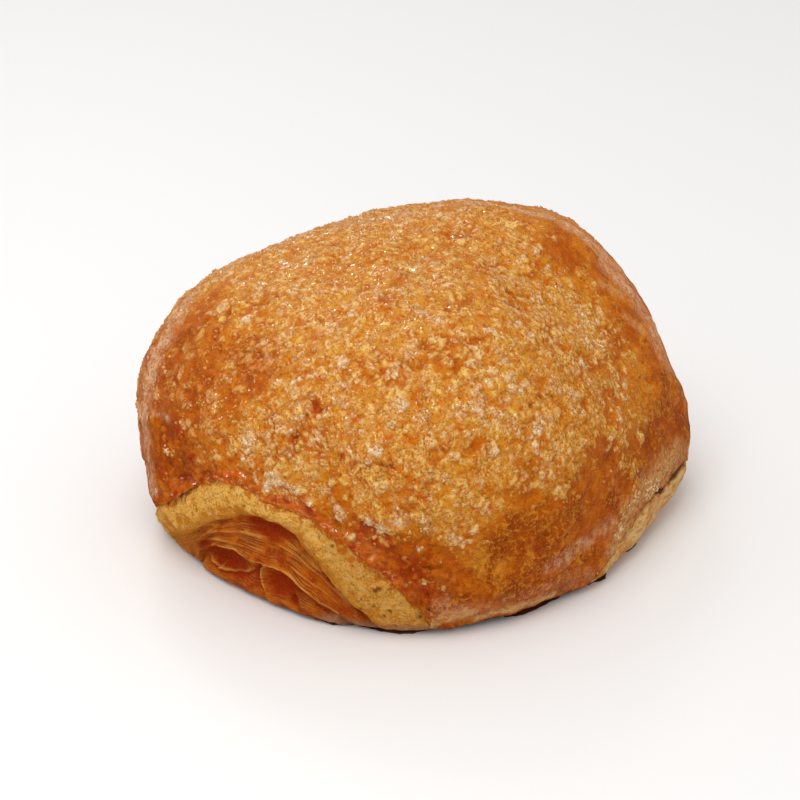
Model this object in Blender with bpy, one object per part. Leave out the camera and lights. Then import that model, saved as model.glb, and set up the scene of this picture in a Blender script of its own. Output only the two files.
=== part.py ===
"""Kouign-amann: a squat bun of layered, caramelised dough, rolled up and cut off at both ends.

X runs along the roll, Z is up, and the origin is under the middle of the bun.  A layered cut
end faces each way along X, and the side facing -Y carries the seam of the roll, low down.
"""

import bpy
import numpy as np

MM = 0.001

# Plan outline at the widest line, in millimetres
HALF_LENGTH = 53.2
HALF_WIDTH = 48.6
SQUARENESS = 2.4
OUTLINE_LOBES = ((1, 1.4, 180.0), (3, 1.1, 7.0))  # order, size, degrees

# Section through the bun
HEIGHT = 58.4
WAIST_HEIGHT = 16.5
WAIST_TILT = 5.4
WAIST_HIGHEST_AT = 150.0
DOME_FULLNESS = 2.4
DOME_LOBES = ((2, 0.37, 13.0), (3, 0.29, 0.0))
TUCK = 5.5
TUCK_FULLNESS = 2.2

# Broad swells and dents of the crust: degrees, height, spread, size
SWELLS = (
    (-44.0, 12.6, 14.5, 3.3),
    (82.0, 53.0, 9.0, 0.9),
    (111.0, 52.0, 7.0, -1.2),
    (-4.0, 50.5, 10.0, 1.0),
    (35.0, 54.0, 9.0, -1.0),
    (138.0, 28.0, 12.0, 0.7),
    (-105.0, 38.0, 13.0, 0.7),
    (-150.0, 44.0, 10.0, -0.6),
    (-60.0, 47.0, 11.0, -0.5),
    (175.0, 35.0, 12.0, 0.6),
    (60.0, 30.0, 14.0, 0.8),
)
SWELL_CENTRE_HEIGHT = 20.0
SWELL_FADE_HEIGHT = 6.0

# Nested arches of a cut end, from the crust's lip inwards: share of the lip's height, share
# of its half angle, depth behind the crust, share of the seam's height that the row takes
END_ROWS = (
    (1.00, 1.00, 0.0, 1.00),
    (0.96, 0.98, 1.3, 0.93),
    (0.87, 0.88, 0.7, 0.72),
    (0.76, 0.75, 1.8, 0.45),
    (0.66, 0.64, 4.4, 0.20),
    (0.56, 0.56, 2.6, 0.0),
    (0.50, 0.50, 3.5, 0.0),
    (0.44, 0.44, 2.4, 0.0),
    (0.32, 0.37, 4.8, 0.0),
    (0.21, 0.30, 3.0, 0.0),
    (0.11, 0.24, 2.2, 0.0),
)
DEPTH_FADE_HEIGHT = 2.6   # a row is at full depth once it stands this far off its floor
BASE_DEPTH_SHARE = 0.7
ROW_SPACING_AT_BASE = 0.27

# The two cut ends: degrees round the bun, half angle, lip height, skew of the arch
CUT_ENDS = ((184.5, 39.5, 25.0, 1.0), (3.0, 44.0, 22.0, -1.0))
SLOW_SIDE = (1.7, 0.85)   # power and root of the arch on its long slope
STEEP_SIDE = (2.0, 0.5)   # and on its steep one
INNER_EASE = 1.2          # how much more gently the inner arches come down their steep side

# The seam of the roll, low on the -Y side: degrees from and to, height, depth of the tuck
SEAM_FROM = -97.0
SEAM_TO = -20.0
SEAM_HEIGHT = 10.8
SEAM_DEPTH = 1.0
SEAM_RAMP = 13.0

# Fineness of the mesh
COLUMNS = 140
END_CROWDING = 0.45   # how much closer the columns stand at the cut ends
DOME_ROWS = 22
BASE_RING_SHARE = 0.55

CRUST_COLOUR = (0.50, 0.235, 0.062, 1.0)
CRUST_ROUGHNESS = 0.42


def lobed(theta, lobes):
    """Sum of low waves round the bun."""
    total = np.zeros_like(theta)
    for order, size, direction in lobes:
        total += size * np.cos(order * (theta - np.radians(direction)))
    return total


def plan_radius(theta):
    """Distance from the axis to the widest line."""
    across = np.abs(np.cos(theta) / HALF_LENGTH) ** SQUARENESS
    along = np.abs(np.sin(theta) / HALF_WIDTH) ** SQUARENESS
    return (across + along) ** (-1.0 / SQUARENESS) + lobed(theta, OUTLINE_LOBES)


def waist_height(theta):
    return WAIST_HEIGHT + WAIST_TILT * np.cos(theta - np.radians(WAIST_HIGHEST_AT))


def dome_fullness(theta):
    return DOME_FULLNESS + lobed(theta, DOME_LOBES)


def radius_at(theta, height):
    """Radius of the crust at a height: a dome above the widest line, a tuck below it."""
    waist = waist_height(theta)
    above = np.clip((height - waist) / (HEIGHT - waist), 0.0, 1.0)
    below = np.clip((waist - height) / waist, 0.0, 1.0)
    fullness = dome_fullness(theta)
    dome = plan_radius(theta) * (1.0 - above ** fullness) ** (1.0 / fullness)
    tuck = TUCK * (1.0 - (1.0 - below ** TUCK_FULLNESS) ** (1.0 / TUCK_FULLNESS))
    return dome - tuck


def arch(offset, skew, spread):
    """Height of an arch over an offset of -1 to 1, steeper on the side that skew points to."""
    steep = offset * skew > 0.0
    power = np.where(steep, STEEP_SIDE[0], SLOW_SIDE[0])
    steep_root = STEEP_SIDE[1] + INNER_EASE * (1.0 - spread)
    root = np.where(steep, steep_root, SLOW_SIDE[1])
    return np.clip(1.0 - np.abs(offset) ** power, 0.0, 1.0) ** root


def wrapped(angle):
    """The same angle between -pi and pi."""
    return np.angle(np.exp(1j * angle))


def seam_height(theta):
    """Height of the roll's seam: a low shelf that ramps up from the base and down again."""
    degrees = np.degrees(wrapped(theta))
    rise = np.clip((degrees - SEAM_FROM) / SEAM_RAMP, 0.0, 1.0)
    fall = np.clip((SEAM_TO - degrees) / SEAM_RAMP, 0.0, 1.0)
    return SEAM_HEIGHT * np.sqrt(rise * fall)


def end_rows(theta):
    """Heights and depths of the rows from the lip down, for every column."""
    count = len(END_ROWS)
    heights = np.zeros((count, theta.size))
    depths = np.zeros_like(heights)
    for row, (rise, spread, depth, seam_share) in enumerate(END_ROWS):
        floor = ROW_SPACING_AT_BASE * (count - row)
        seam = seam_height(theta) * seam_share
        heights[row] = np.maximum(seam, floor)
        depths[row] = SEAM_DEPTH * (seam > floor) * (row > 0)
        for centre, half_angle, lip, skew in CUT_ENDS:
            offset = wrapped(theta - np.radians(centre)) / np.radians(half_angle * spread)
            height = lip * rise * arch(offset, skew, spread)
            fade = np.clip((height - floor) / DEPTH_FADE_HEIGHT, 0.0, 1.0)
            depths[row] = np.maximum(depths[row], depth * fade)
            heights[row] = np.maximum(heights[row], height)
    for row in range(count - 2, -1, -1):
        heights[row] = np.maximum(heights[row], heights[row + 1] + ROW_SPACING_AT_BASE)
    return heights, depths


def dome_rows(theta, lip_heights):
    """Rows from just under the top down to the lip, evenly turned about the waist."""
    waist = waist_height(theta)
    fullness = dome_fullness(theta)
    above = np.clip((lip_heights - waist) / (HEIGHT - waist), 0.0, 1.0)
    below = np.clip((waist - lip_heights) / waist, 0.0, 1.0)
    last_turn = np.arccos(above ** (fullness / 2.0)) + np.arcsin(below ** (TUCK_FULLNESS / 2.0))
    rows = []
    for step in range(1, DOME_ROWS):
        turn = last_turn * step / DOME_ROWS
        over = np.clip(np.cos(turn), 0.0, 1.0) ** (2.0 / fullness)
        under = np.clip(-np.cos(turn), 0.0, 1.0) ** (2.0 / TUCK_FULLNESS)
        height = waist + (HEIGHT - waist) * over - waist * under
        rows.append((radius_at(theta, height), height))
    return rows


def swelled(points):
    """Push the points out and in where the crust swells and sags."""
    core = np.array((0.0, 0.0, SWELL_CENTRE_HEIGHT))
    outward = points - core
    outward /= np.linalg.norm(outward, axis=-1, keepdims=True)
    amount = np.zeros(points.shape[:-1])
    for degrees, height, spread, size in SWELLS:
        theta = np.radians(np.array([degrees]))
        radius = radius_at(theta, height)[0]
        centre = np.array((radius * np.cos(theta[0]), radius * np.sin(theta[0]), height))
        distance = np.linalg.norm(points - centre, axis=-1)
        amount += size * np.exp(-(distance / spread) ** 2)
    amount *= np.clip(points[..., 2] / SWELL_FADE_HEIGHT, 0.0, 1.0)
    return points + outward * amount[..., None]


def column_angles():
    even = np.linspace(0.0, 2.0 * np.pi, COLUMNS, endpoint=False)
    return even - 0.5 * END_CROWDING * np.sin(2.0 * even)


def bun_rings():
    """All rings of points from the top to the base, each with one point to a column."""
    theta = column_angles()
    heights, depths = end_rows(theta)
    rows = dome_rows(theta, heights[0])
    for height, depth in zip(heights, depths):
        rows.append((radius_at(theta, height) - depth, height))
    rim = radius_at(theta, np.zeros(COLUMNS)) - BASE_DEPTH_SHARE * depths[-1]
    rows.append((rim, np.zeros(COLUMNS)))
    rows.append((rim * BASE_RING_SHARE, np.zeros(COLUMNS)))
    rings = [np.stack((r * np.cos(theta), r * np.sin(theta), z), axis=-1) for r, z in rows]
    return swelled(np.array(rings))


def bun_mesh():
    """A closed skin over the rings, with one point at the top and one under the base."""
    rings = bun_rings()
    ring_count = len(rings)
    top = swelled(np.array([(0.0, 0.0, HEIGHT)]))
    points = np.concatenate((rings.reshape(-1, 3), top, [(0.0, 0.0, 0.0)]))
    middle = (points[:, :2].min(axis=0) + points[:, :2].max(axis=0)) / 2.0
    points[:, :2] -= middle
    top_index = ring_count * COLUMNS
    base_index = top_index + 1
    faces = []
    for column in range(COLUMNS):
        following = (column + 1) % COLUMNS
        faces.append((top_index, column, following))
        for ring in range(ring_count - 1):
            upper = ring * COLUMNS
            lower = upper + COLUMNS
            faces.append((upper + column, lower + column, lower + following, upper + following))
        last = (ring_count - 1) * COLUMNS
        faces.append((last + column, base_index, last + following))
    mesh = bpy.data.meshes.new("kouign_amann")
    mesh.from_pydata((points * MM).tolist(), [], faces)
    mesh.validate()
    mesh.shade_smooth()
    return mesh


def crust_material():
    material = bpy.data.materials.new("caramelised_crust")
    material.use_nodes = True
    shader = material.node_tree.nodes["Principled BSDF"]
    shader.inputs["Base Color"].default_value = CRUST_COLOUR
    shader.inputs["Roughness"].default_value = CRUST_ROUGHNESS
    shader.inputs["Metallic"].default_value = 0.0
    return material


def main():
    for obj in list(bpy.data.objects):
        bpy.data.objects.remove(obj)
    mesh = bun_mesh()
    mesh.materials.append(crust_material())
    bun = bpy.data.objects.new("kouign_amann", mesh)
    bpy.context.scene.collection.objects.link(bun)


main()
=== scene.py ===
import math

import bpy
import numpy as np
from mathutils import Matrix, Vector


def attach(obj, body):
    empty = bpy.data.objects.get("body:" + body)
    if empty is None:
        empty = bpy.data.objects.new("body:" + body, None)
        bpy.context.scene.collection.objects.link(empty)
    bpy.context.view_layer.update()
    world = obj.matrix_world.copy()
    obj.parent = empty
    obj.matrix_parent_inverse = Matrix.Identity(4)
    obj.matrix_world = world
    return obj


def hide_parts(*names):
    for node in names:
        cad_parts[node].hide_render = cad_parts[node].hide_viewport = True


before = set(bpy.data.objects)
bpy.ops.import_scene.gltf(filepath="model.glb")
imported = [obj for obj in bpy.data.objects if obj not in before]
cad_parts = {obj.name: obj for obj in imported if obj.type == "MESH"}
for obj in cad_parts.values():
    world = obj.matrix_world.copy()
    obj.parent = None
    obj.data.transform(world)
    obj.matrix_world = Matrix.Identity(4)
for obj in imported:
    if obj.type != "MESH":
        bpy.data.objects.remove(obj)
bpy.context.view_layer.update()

MM = 0.001
NODE = "kouign_amann"
BODY = "root"

# ---- The bun's form, the same as the solid's: millimetres and degrees ----
HALF_LENGTH = 53.2
HALF_WIDTH = 48.6
SQUARENESS = 2.4
OUTLINE_LOBES = ((1, 1.4, 180.0), (3, 1.1, 7.0))   # order, size, direction
HEIGHT = 58.4
WAIST_HEIGHT = 16.5
WAIST_TILT = 5.4
WAIST_HIGHEST_AT = 150.0
DOME_FULLNESS = 2.4
DOME_LOBES = ((2, 0.37, 13.0), (3, 0.29, 0.0))
TUCK = 5.5
TUCK_FULLNESS = 2.2
# Broad swells and dents: degrees, height, spread, size
SWELLS = (
    (-44, 12.6, 14.5, 3.3), (82, 53, 9, 0.9), (111, 52, 7, -1.2), (-4, 50.5, 10, 1),
    (35, 54, 9, -1), (138, 28, 12, 0.7), (-105, 38, 13, 0.7), (-150, 44, 10, -0.6),
    (-60, 47, 11, -0.5), (175, 35, 12, 0.6), (60, 30, 14, 0.8),
)
SWELL_CENTRE_HEIGHT = 20.0
SWELL_FADE_HEIGHT = 6.0
FORM_SAMPLES = (720, 60)      # columns and rows of points that the middle is worked out from
FORM_TURNS = (0.3, 0.75)      # and the turns that they lie between, in half circles
# The two cut ends: degrees round the bun, half angle, lip height, skew of the arch
CUT_ENDS = ((184.5, 39.5, 25.0, 1.0), (3.0, 44.0, 22.0, -1.0))
SLOW_SIDE = (1.7, 0.85)       # power and root of the arch on its long slope
STEEP_SIDE = (2.0, 0.5)       # and on its steep one
# The seam of the roll, low on the -Y side
SEAM_FROM = -97.0
SEAM_TO = -20.0
SEAM_HEIGHT = 10.8
SEAM_DEPTH = 1.0
SEAM_RAMP = 13.0

# ---- Where the real bun leaves that form ----
CRUST_EDGE = 0.7              # height of the crust's lower edge where nothing is cut
SEAM_DROP = 0.34              # share by which the edge comes down towards the seam's end
SEAM_DROP_SPAN = (-66, -88)   # degrees over which it does
# Waves of the crust's lip: order, size, phase
LIP_WANDER = ((7, 0.45, 0.4), (13, 0.35, 2.1), (23, 0.28, 4.0), (41, 0.16, 1.0))
LIP_RAGS = ((47, 0.20, 0.3), (71, 0.17, 1.9), (103, 0.12, 4.4), (149, 0.08, 2.6))
LIP_CALM = 0.75               # share of its wander that the lip loses over the near end
LIP_CALM_SPAN = (45, 30)      # degrees off the near end's middle over which it does
LIP_FADE = (1.5, 6.0)         # heights of the lip over which its waves fade in
# How much higher the lip runs than the plain arches and the plain seam, against degrees
LIP_TOUCHES = (
    (148, 0), (151, 0.3), (161, -1.3), (167, -0.4), (171, 0.8), (175, 1.6), (178, 1.7), (184, 1.2),
    (190, 0.3), (193, 0.3), (198, 1.4), (202, 1.2), (206, 0.2), (211, -0.5), (218, -1.2),
    (220, -1.8), (222, -0.8), (226, 0), (262, 0), (272, -0.8), (276, -0.9), (282, 0.3), (288, 1.4),
    (293, 1), (300, 0.3), (308, -0.4), (316, 0), (322, 0.4), (360, 0),
)
# Where the outline stands out further than the plain form: degrees, height, spread, size
OUTLINE_TOUCHES = ((-45, 20, 8, 0.9), (-38, 11, 5, -0.8), (-93, 2, 6, 1.6), (153, 15, 7, 1.3))


def smooth_step(low, high, value):
    """Ease from 0 to 1 as the value goes from low to high."""
    part = np.clip((value - low) / (high - low), 0.0, 1.0)
    return part * part * (3.0 - 2.0 * part)


def polar(radius, theta, height):
    """Points at a distance from the axis, an angle and a height."""
    return np.stack((radius * np.cos(theta), radius * np.sin(theta), height), axis=-1)


def angle_of(points):
    return np.arctan2(points[:, 1], points[:, 0])


def lengths(vectors):
    return np.linalg.norm(vectors, axis=-1)


def unit(vectors):
    return vectors / lengths(vectors)[..., None]


def wrapped(angle):
    """The same angle between -pi and pi."""
    return np.angle(np.exp(1j * angle))


def lobed(theta, lobes):
    """Sum of low waves round the bun."""
    total = np.zeros_like(theta)
    for order, size, direction in lobes:
        total = total + size * np.cos(order * (theta - np.radians(direction)))
    return total


def waved(value, theta, waves):
    """The value with the waves round the bun added."""
    for order, size, phase in waves:
        value = value + size * np.sin(order * theta + phase)
    return value


def plan_radius(theta):
    """Distance from the axis to the widest line."""
    across = np.abs(np.cos(theta) / HALF_LENGTH) ** SQUARENESS
    along = np.abs(np.sin(theta) / HALF_WIDTH) ** SQUARENESS
    return (across + along) ** (-1.0 / SQUARENESS) + lobed(theta, OUTLINE_LOBES)


def waist_height(theta):
    return WAIST_HEIGHT + WAIST_TILT * np.cos(theta - np.radians(WAIST_HIGHEST_AT))


def dome_fullness(theta):
    return DOME_FULLNESS + lobed(theta, DOME_LOBES)


def waist_shares(theta, height):
    """How far each height lies above the widest line, and how far below, as shares."""
    waist = waist_height(theta)
    above = np.clip((height - waist) / (HEIGHT - waist), 0.0, 1.0)
    return above, np.clip((waist - height) / waist, 0.0, 1.0)


def radius_at(theta, height):
    """Radius of the crust at a height: a dome above the widest line, a tuck below it."""
    above, below = waist_shares(theta, height)
    fullness = dome_fullness(theta)
    dome = plan_radius(theta) * (1.0 - above ** fullness) ** (1.0 / fullness)
    tuck = TUCK * (1.0 - (1.0 - below ** TUCK_FULLNESS) ** (1.0 / TUCK_FULLNESS))
    return dome - tuck


def place(degrees, height):
    """Point of the plain form at an angle and a height."""
    theta = np.radians(np.array([float(degrees)]))
    return polar(radius_at(theta, height)[0], theta[0], height)


def mounds(points, marks, centre_of):
    """Height at each point of smooth mounds over the marks."""
    amount = np.zeros(points.shape[:-1])
    for degrees, height, spread, size in marks:
        distance = lengths(points - centre_of(degrees, height))
        amount += size * np.exp(-(distance / spread) ** 2)
    return amount


def swelled(points):
    """Push the points out and in where the crust swells and sags."""
    outward = unit(points - (0.0, 0.0, SWELL_CENTRE_HEIGHT))
    amount = mounds(points, SWELLS, place)
    amount *= np.clip(points[..., 2] / SWELL_FADE_HEIGHT, 0.0, 1.0)
    return points + outward * amount[..., None]


def on_crust(degrees, height):
    """Point of the swelled crust at an angle and a height."""
    return swelled(place(degrees, height)[None])[0]


def pushed(points):
    """Push the points away from the axis where the real outline stands out further."""
    amount = mounds(points, OUTLINE_TOUCHES, on_crust)
    moved = points.copy()
    moved[..., :2] *= 1.0 + (amount / np.maximum(lengths(points[..., :2]), 1.0))[..., None]
    return moved


def arch(offset, skew):
    """Height of an arch over an offset of -1 to 1, steeper on the side that skew points to."""
    steep = offset * skew > 0.0
    power = np.where(steep, STEEP_SIDE[0], SLOW_SIDE[0])
    root = np.where(steep, STEEP_SIDE[1], SLOW_SIDE[1])
    return np.clip(1.0 - np.abs(offset) ** power, 0.0, 1.0) ** root


def seam_height(theta):
    """Height of the roll's seam: a low shelf that ramps up from the base and down again."""
    degrees = np.degrees(wrapped(theta))
    rise = np.clip((degrees - SEAM_FROM) / SEAM_RAMP, 0.0, 1.0)
    fall = np.clip((SEAM_TO - degrees) / SEAM_RAMP, 0.0, 1.0)
    return SEAM_HEIGHT * np.sqrt(rise * fall)


def lip_touch(theta):
    return np.interp(np.degrees(theta) % 360.0, *np.array(LIP_TOUCHES).T)


def lip_height(theta):
    """Height at which the crust ends: over the cut ends, along the seam, or near the base."""
    drop = 1.0 - SEAM_DROP * smooth_step(*SEAM_DROP_SPAN, np.degrees(wrapped(theta)))
    height = np.maximum(seam_height(theta) * drop, CRUST_EDGE)
    for centre, half_angle, lip, skew in CUT_ENDS:
        offset = wrapped(theta - np.radians(centre)) / np.radians(half_angle)
        height = np.maximum(height, lip * arch(offset, skew))
    off_near = np.abs(wrapped(theta - np.radians(CUT_ENDS[0][0]))) * 180.0 / np.pi
    calm = 1.0 - LIP_CALM * smooth_step(*LIP_CALM_SPAN, off_near)
    wander = calm * waved(np.zeros_like(theta), theta, LIP_WANDER) + lip_touch(theta)
    return height + waved(wander, theta, LIP_RAGS) * smooth_step(*LIP_FADE, height)


def skin(theta, turn):
    """Smooth crust, turned from the top (0) over the widest line (pi / 2) to the base."""
    waist = waist_height(theta)
    fullness = dome_fullness(theta)
    outer = plan_radius(theta)
    cosine = np.cos(turn)
    sine = np.clip(np.sin(turn), 0.0, 1.0)
    over = np.clip(cosine, 0.0, 1.0) ** (2.0 / fullness)
    under = np.clip(-cosine, 0.0, 1.0) ** (2.0 / TUCK_FULLNESS)
    dome = outer * sine ** (2.0 / fullness)
    tucked = outer - TUCK * (1.0 - sine ** (2.0 / TUCK_FULLNESS))
    height = waist + (HEIGHT - waist) * over - waist * under
    return swelled(polar(np.where(cosine > 0.0, dome, tucked), theta, height))


def turn_at(theta, height):
    """Turn at which the skin reaches a height."""
    above, below = waist_shares(theta, height)
    return (np.arccos(above ** (dome_fullness(theta) / 2.0))
            + np.arcsin(below ** (TUCK_FULLNESS / 2.0)))


def form_middle():
    """Middle of the plain form's plan, which the solid has over its origin."""
    theta = np.linspace(0.0, 2.0 * np.pi, FORM_SAMPLES[0])
    near_waist = np.linspace(*FORM_TURNS, FORM_SAMPLES[1]) * np.pi
    points = skin(theta[:, None] + 0.0 * near_waist, near_waist[None, :] + 0.0 * theta[:, None])
    points = points.reshape(-1, 3)
    return (points.min(axis=0) + points.max(axis=0)) / 2.0 * (1.0, 1.0, 0.0)


MIDDLE = form_middle()


# ---- Noise that is the same on every run ----
NOISE_AXES = np.array(((0.36, 0.48, -0.80), (-0.80, 0.60, 0.00), (0.48, 0.64, 0.60)))
NOISE_SHIFT = 31.7
HASH_PRIMES = (73856093, 19349663, 83492791, 668265263)
HASH_MIXERS = (0x85EBCA6B, 0xC2B2AE35)


def cell_random(cells, seed):
    """A number from 0 to 1 for every cell of a lattice."""
    whole = cells.astype(np.int64).astype(np.uint32)
    mixed = np.uint32(seed * HASH_PRIMES[3] & 0xFFFFFFFF)
    for axis in range(3):
        mixed = mixed ^ (whole[..., axis] * np.uint32(HASH_PRIMES[axis]))
    for factor in HASH_MIXERS:
        mixed ^= mixed >> np.uint32(15)
        mixed = mixed * np.uint32(factor)
    mixed ^= mixed >> np.uint32(16)
    return mixed.astype(float) / 0xFFFFFFFF


def noise(points, cell, seed, stretch=(1, 1, 1)):
    """Smooth noise from -1 to 1 with features about one cell wide."""
    scaled = (points / (cell * np.array(stretch))) @ NOISE_AXES + NOISE_SHIFT
    base = np.floor(scaled)
    part = scaled - base
    ease = part * part * (3.0 - 2.0 * part)
    total = np.zeros(points.shape[:-1])
    for corner in range(8):
        step = np.array((corner & 1, corner >> 1 & 1, corner >> 2))
        weight = np.prod(np.where(step == 1, ease, 1.0 - ease), axis=-1)
        total += weight * cell_random(base + step, seed)
    return total * 2.0 - 1.0


def noise_vector(points, cell, seed):
    return np.stack([noise(points, cell, seed + axis) for axis in range(3)], axis=-1)


def octaves(points, cell, seed, count, gain=0.5, stretch=(1, 1, 1)):
    """Noise with ever finer noise added, each time smaller by the gain."""
    total = np.zeros(points.shape[:-1])
    size = 1.0
    for octave in range(count):
        total += size * noise(points, cell * 0.5 ** octave, seed + octave, stretch)
        size *= gain
    return total


def grains(points, cell, seed):
    """Distances to the nearest and second nearest grain centre, and the nearest's number."""
    scaled = points / cell
    base = np.floor(scaled)
    nearest = np.full(points.shape[:-1], 9.0)
    second = nearest.copy()
    number = np.zeros(points.shape[:-1])
    for index in range(27):
        cells = base + np.array((index % 3 - 1, index // 3 % 3 - 1, index // 9 - 1))
        centre = np.stack([cell_random(cells, seed + axis) for axis in range(3)], axis=-1)
        distance = lengths(cells + centre - scaled)
        closer = distance < nearest
        second = np.where(closer, nearest, np.minimum(second, distance))
        number = np.where(closer, centre[..., 0], number)
        nearest = np.where(closer, distance, nearest)
    return nearest, second, number


# ---- Mesh helpers ----
def face_normals(points, faces):
    corner = points[faces]
    return np.cross(corner[:, 1] - corner[:, 0], corner[:, 2] - corner[:, 0])


def vertex_normals(points, faces):
    normals = face_normals(points, faces)
    total = np.zeros_like(points)
    for axis in range(3):
        for corner in range(3):
            total[:, axis] += np.bincount(faces[:, corner], normals[:, axis], len(points))
    return total / np.maximum(np.linalg.norm(total, axis=1, keepdims=True), 1e-12)


def make_piece(name, points, faces, material, tones=None, normals=None, smooth=True):
    """A mesh piece that rides on the bun, from arrays in millimetres."""
    mesh = bpy.data.meshes.new(name)
    mesh.vertices.add(len(points))
    mesh.vertices.foreach_set("co", ((points - MIDDLE) * MM).astype(np.float32).ravel())
    mesh.loops.add(faces.size)
    mesh.loops.foreach_set("vertex_index", faces.astype(np.int32).ravel())
    mesh.polygons.add(len(faces))
    mesh.polygons.foreach_set("loop_start", np.arange(0, faces.size, 3, dtype=np.int32))
    mesh.update(calc_edges=True)
    mesh.validate()
    if smooth:
        mesh.shade_smooth()
    for tone, values in (tones or {}).items():
        layer = mesh.attributes.new(tone, "FLOAT", "POINT")
        layer.data.foreach_set("value", values.astype(np.float32))
    if normals is not None:
        mesh.normals_split_custom_set_from_vertices(normals.tolist())
    mesh.materials.append(material)
    piece = bpy.data.objects.new(name, mesh)
    bpy.context.scene.collection.objects.link(piece)
    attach(piece, BODY)
    return piece


def zipped(upper_start, upper_count, lower_start, lower_count):
    """Triangles between two closed rings of points that start on the same meridian."""
    upper = np.arange(upper_count)
    lower = np.arange(lower_count)
    upper_middle = (upper + 0.5) / upper_count
    lower_middle = (lower + 0.5) / lower_count
    upper_at = np.searchsorted(upper_middle, lower_middle) % upper_count
    lower_at = np.searchsorted(lower_middle, upper_middle, side="right") % lower_count
    down = np.stack((upper_start + upper_at, lower_start + lower,
                     lower_start + (lower + 1) % lower_count), axis=1)
    up = np.stack((upper_start + upper, lower_start + lower_at,
                   upper_start + (upper + 1) % upper_count), axis=1)
    return np.concatenate((down, up))


def netted(rings):
    """The points of nested rings, the first a single point, their faces and where each starts."""
    counts = [len(ring) for ring in rings]
    starts = np.concatenate(([0], np.cumsum(counts)))
    first = np.arange(counts[1])
    faces = [np.stack((0 * first, 1 + first, 1 + (first + 1) % counts[1]), axis=1)]
    for ring in range(1, len(rings) - 1):
        faces.append(zipped(starts[ring], counts[ring], starts[ring + 1], counts[ring + 1]))
    return np.concatenate(rings), np.concatenate(faces), starts


def grid_faces(rows, columns):
    """Triangles of a grid of points whose rows run down and columns run anticlockwise."""
    index = np.arange(rows * columns).reshape(rows, columns)
    upper_left, upper_right = index[:-1, :-1].ravel(), index[:-1, 1:].ravel()
    lower_left, lower_right = index[1:, :-1].ravel(), index[1:, 1:].ravel()
    left = np.stack((upper_left, lower_left, lower_right), axis=1)
    right = np.stack((upper_left, lower_right, upper_right), axis=1)
    return np.concatenate((left, right))


def used_only(points, faces, values):
    """The points that the faces use, with the faces and the values renumbered to match."""
    used = np.unique(faces)
    renumber = np.zeros(len(points), dtype=int)
    renumber[used] = np.arange(len(used))
    return points[used], renumber[faces], {name: value[used] for name, value in values.items()}


# ---- Crust: its marks ----
# Cracks: points as degrees and height, width, depth
CRACKS = (
    (((157, 50.5), (161, 47), (166, 45.5)), 0.5, 0.6),
    (((-164, 44.5), (-162, 43.4), (-159, 43.2)), 0.8, 0.7),
    (((-166, 35), (-165, 38), (-163, 42)), 0.6, 0.5),
    (((-154, 37.3), (-151, 35), (-146, 36.6), (-143, 35.6)), 0.4, 0.45),
    (((-111, 42), (-107, 43), (-103, 41.8)), 0.4, 0.45),
    (((-151, 25.4), (-147, 24.4), (-144, 22.6)), 0.8, 0.7),
    (((-142, 18), (-139, 14), (-137, 10.5)), 1.1, 0.6),
    (((166, 22), (172, 23.5), (177, 26.5)), 0.5, 0.6),
    (((95, 40), (104, 42), (112, 39.5)), 0.6, 0.5),
    (((60, 44), (66, 41), (74, 42.5)), 0.5, 0.5),
    (((20, 40), (27, 42.5), (33, 41.5)), 0.5, 0.5),
)
# Patches, each given as degrees, height and size: clotted sugar; the two small ones low by the
# near end's lip, at -137 and -133.5 degrees, are painted glints on the wet caramel, which also
# draw coarse crystals
FROST_AND_GLINT_SPOTS = (
    (-142, 27, 2), (-153, 26.5, 1.3), (-148, 25.9, 1.3), (-145.5, 24.3, 1.2), (-151, 22.6, 1.1),
    (-168, 29.4, 1.3), (-170, 27.7, 1), (-163, 28.7, 1.1), (-160, 27.7, 1), (-137, 13.1, 0.45),
    (-133.5, 12.1, 0.45), (-141, 17.9, 0.5), (-154, 27.6, 0.7), (-138, 20.5, 0.5),
    (156, 14.5, 0.7), (161, 24.9, 0.6), (-136, 56, 1.6), (-132, 55, 1.5), (-158, 50, 1.3),
    (-166, 43, 1), (-115, 49, 1.7), (-100, 50, 1.7), (164, 50.7, 1.5), (179, 47, 1.7),
    (-143, 45.7, 1.9), (-176, 36, 1.9), (-169, 30, 1.6), (-147, 39, 1.6), (-111, 38.5, 1.4),
    (100, 47, 1.6), (62, 38, 1.5), (35, 33, 1.4), (128, 35, 1.5),
)
# Loose, coarse grains
FLECK_SPOTS = (
    (-84, 13.2, 2), (-86, 9.5, 2.2), (-78, 15.3, 2.2), (-72, 14, 2.4), (-67, 13, 1.8),
    (-80, 21.6, 2), (-94, 27.3, 1.8), (-103, 24, 1.4), (-128, 16.5, 1.2), (-71, 31.5, 1.4),
    (162, 25.6, 0.9), (160, 24.7, 0.7), (166, 26.7, 0.8), (155, 14.5, 1),
)
# Golden and dark patches of the bare sides
GOLD_SPOTS = (
    (-128, 17.2, 2.8), (-125, 15.8, 2.8), (-122, 14, 2.4), (-81, 29, 2.6), (-94, 25.8, 2.4),
    (-104, 15.5, 2.6), (-92, 5.5, 2), (-57, 30, 3), (152, 26, 2.2), (90, 20, 3.5), (40, 28, 3),
)
DARK_SPOTS = (
    (-112, 17.8, 2.6), (-118, 23.4, 2.2), (-102, 18.8, 2.4), (-105, 22.5, 2.6), (-103, 27, 2.2),
    (-88, 27.5, 2.6), (-68, 23, 3), (-110, 26.5, 2), (160, 29, 3.2), (-87, 4.2, 1.4),
    (156, 21, 2.6), (70, 18, 3.5), (112, 22, 3.5), (-51, 20, 3.5), (-59, 25, 3), (-49, 28, 3),
    (168, 28.5, 3.4), (160, 31, 3), (153, 44, 4),
)
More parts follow.
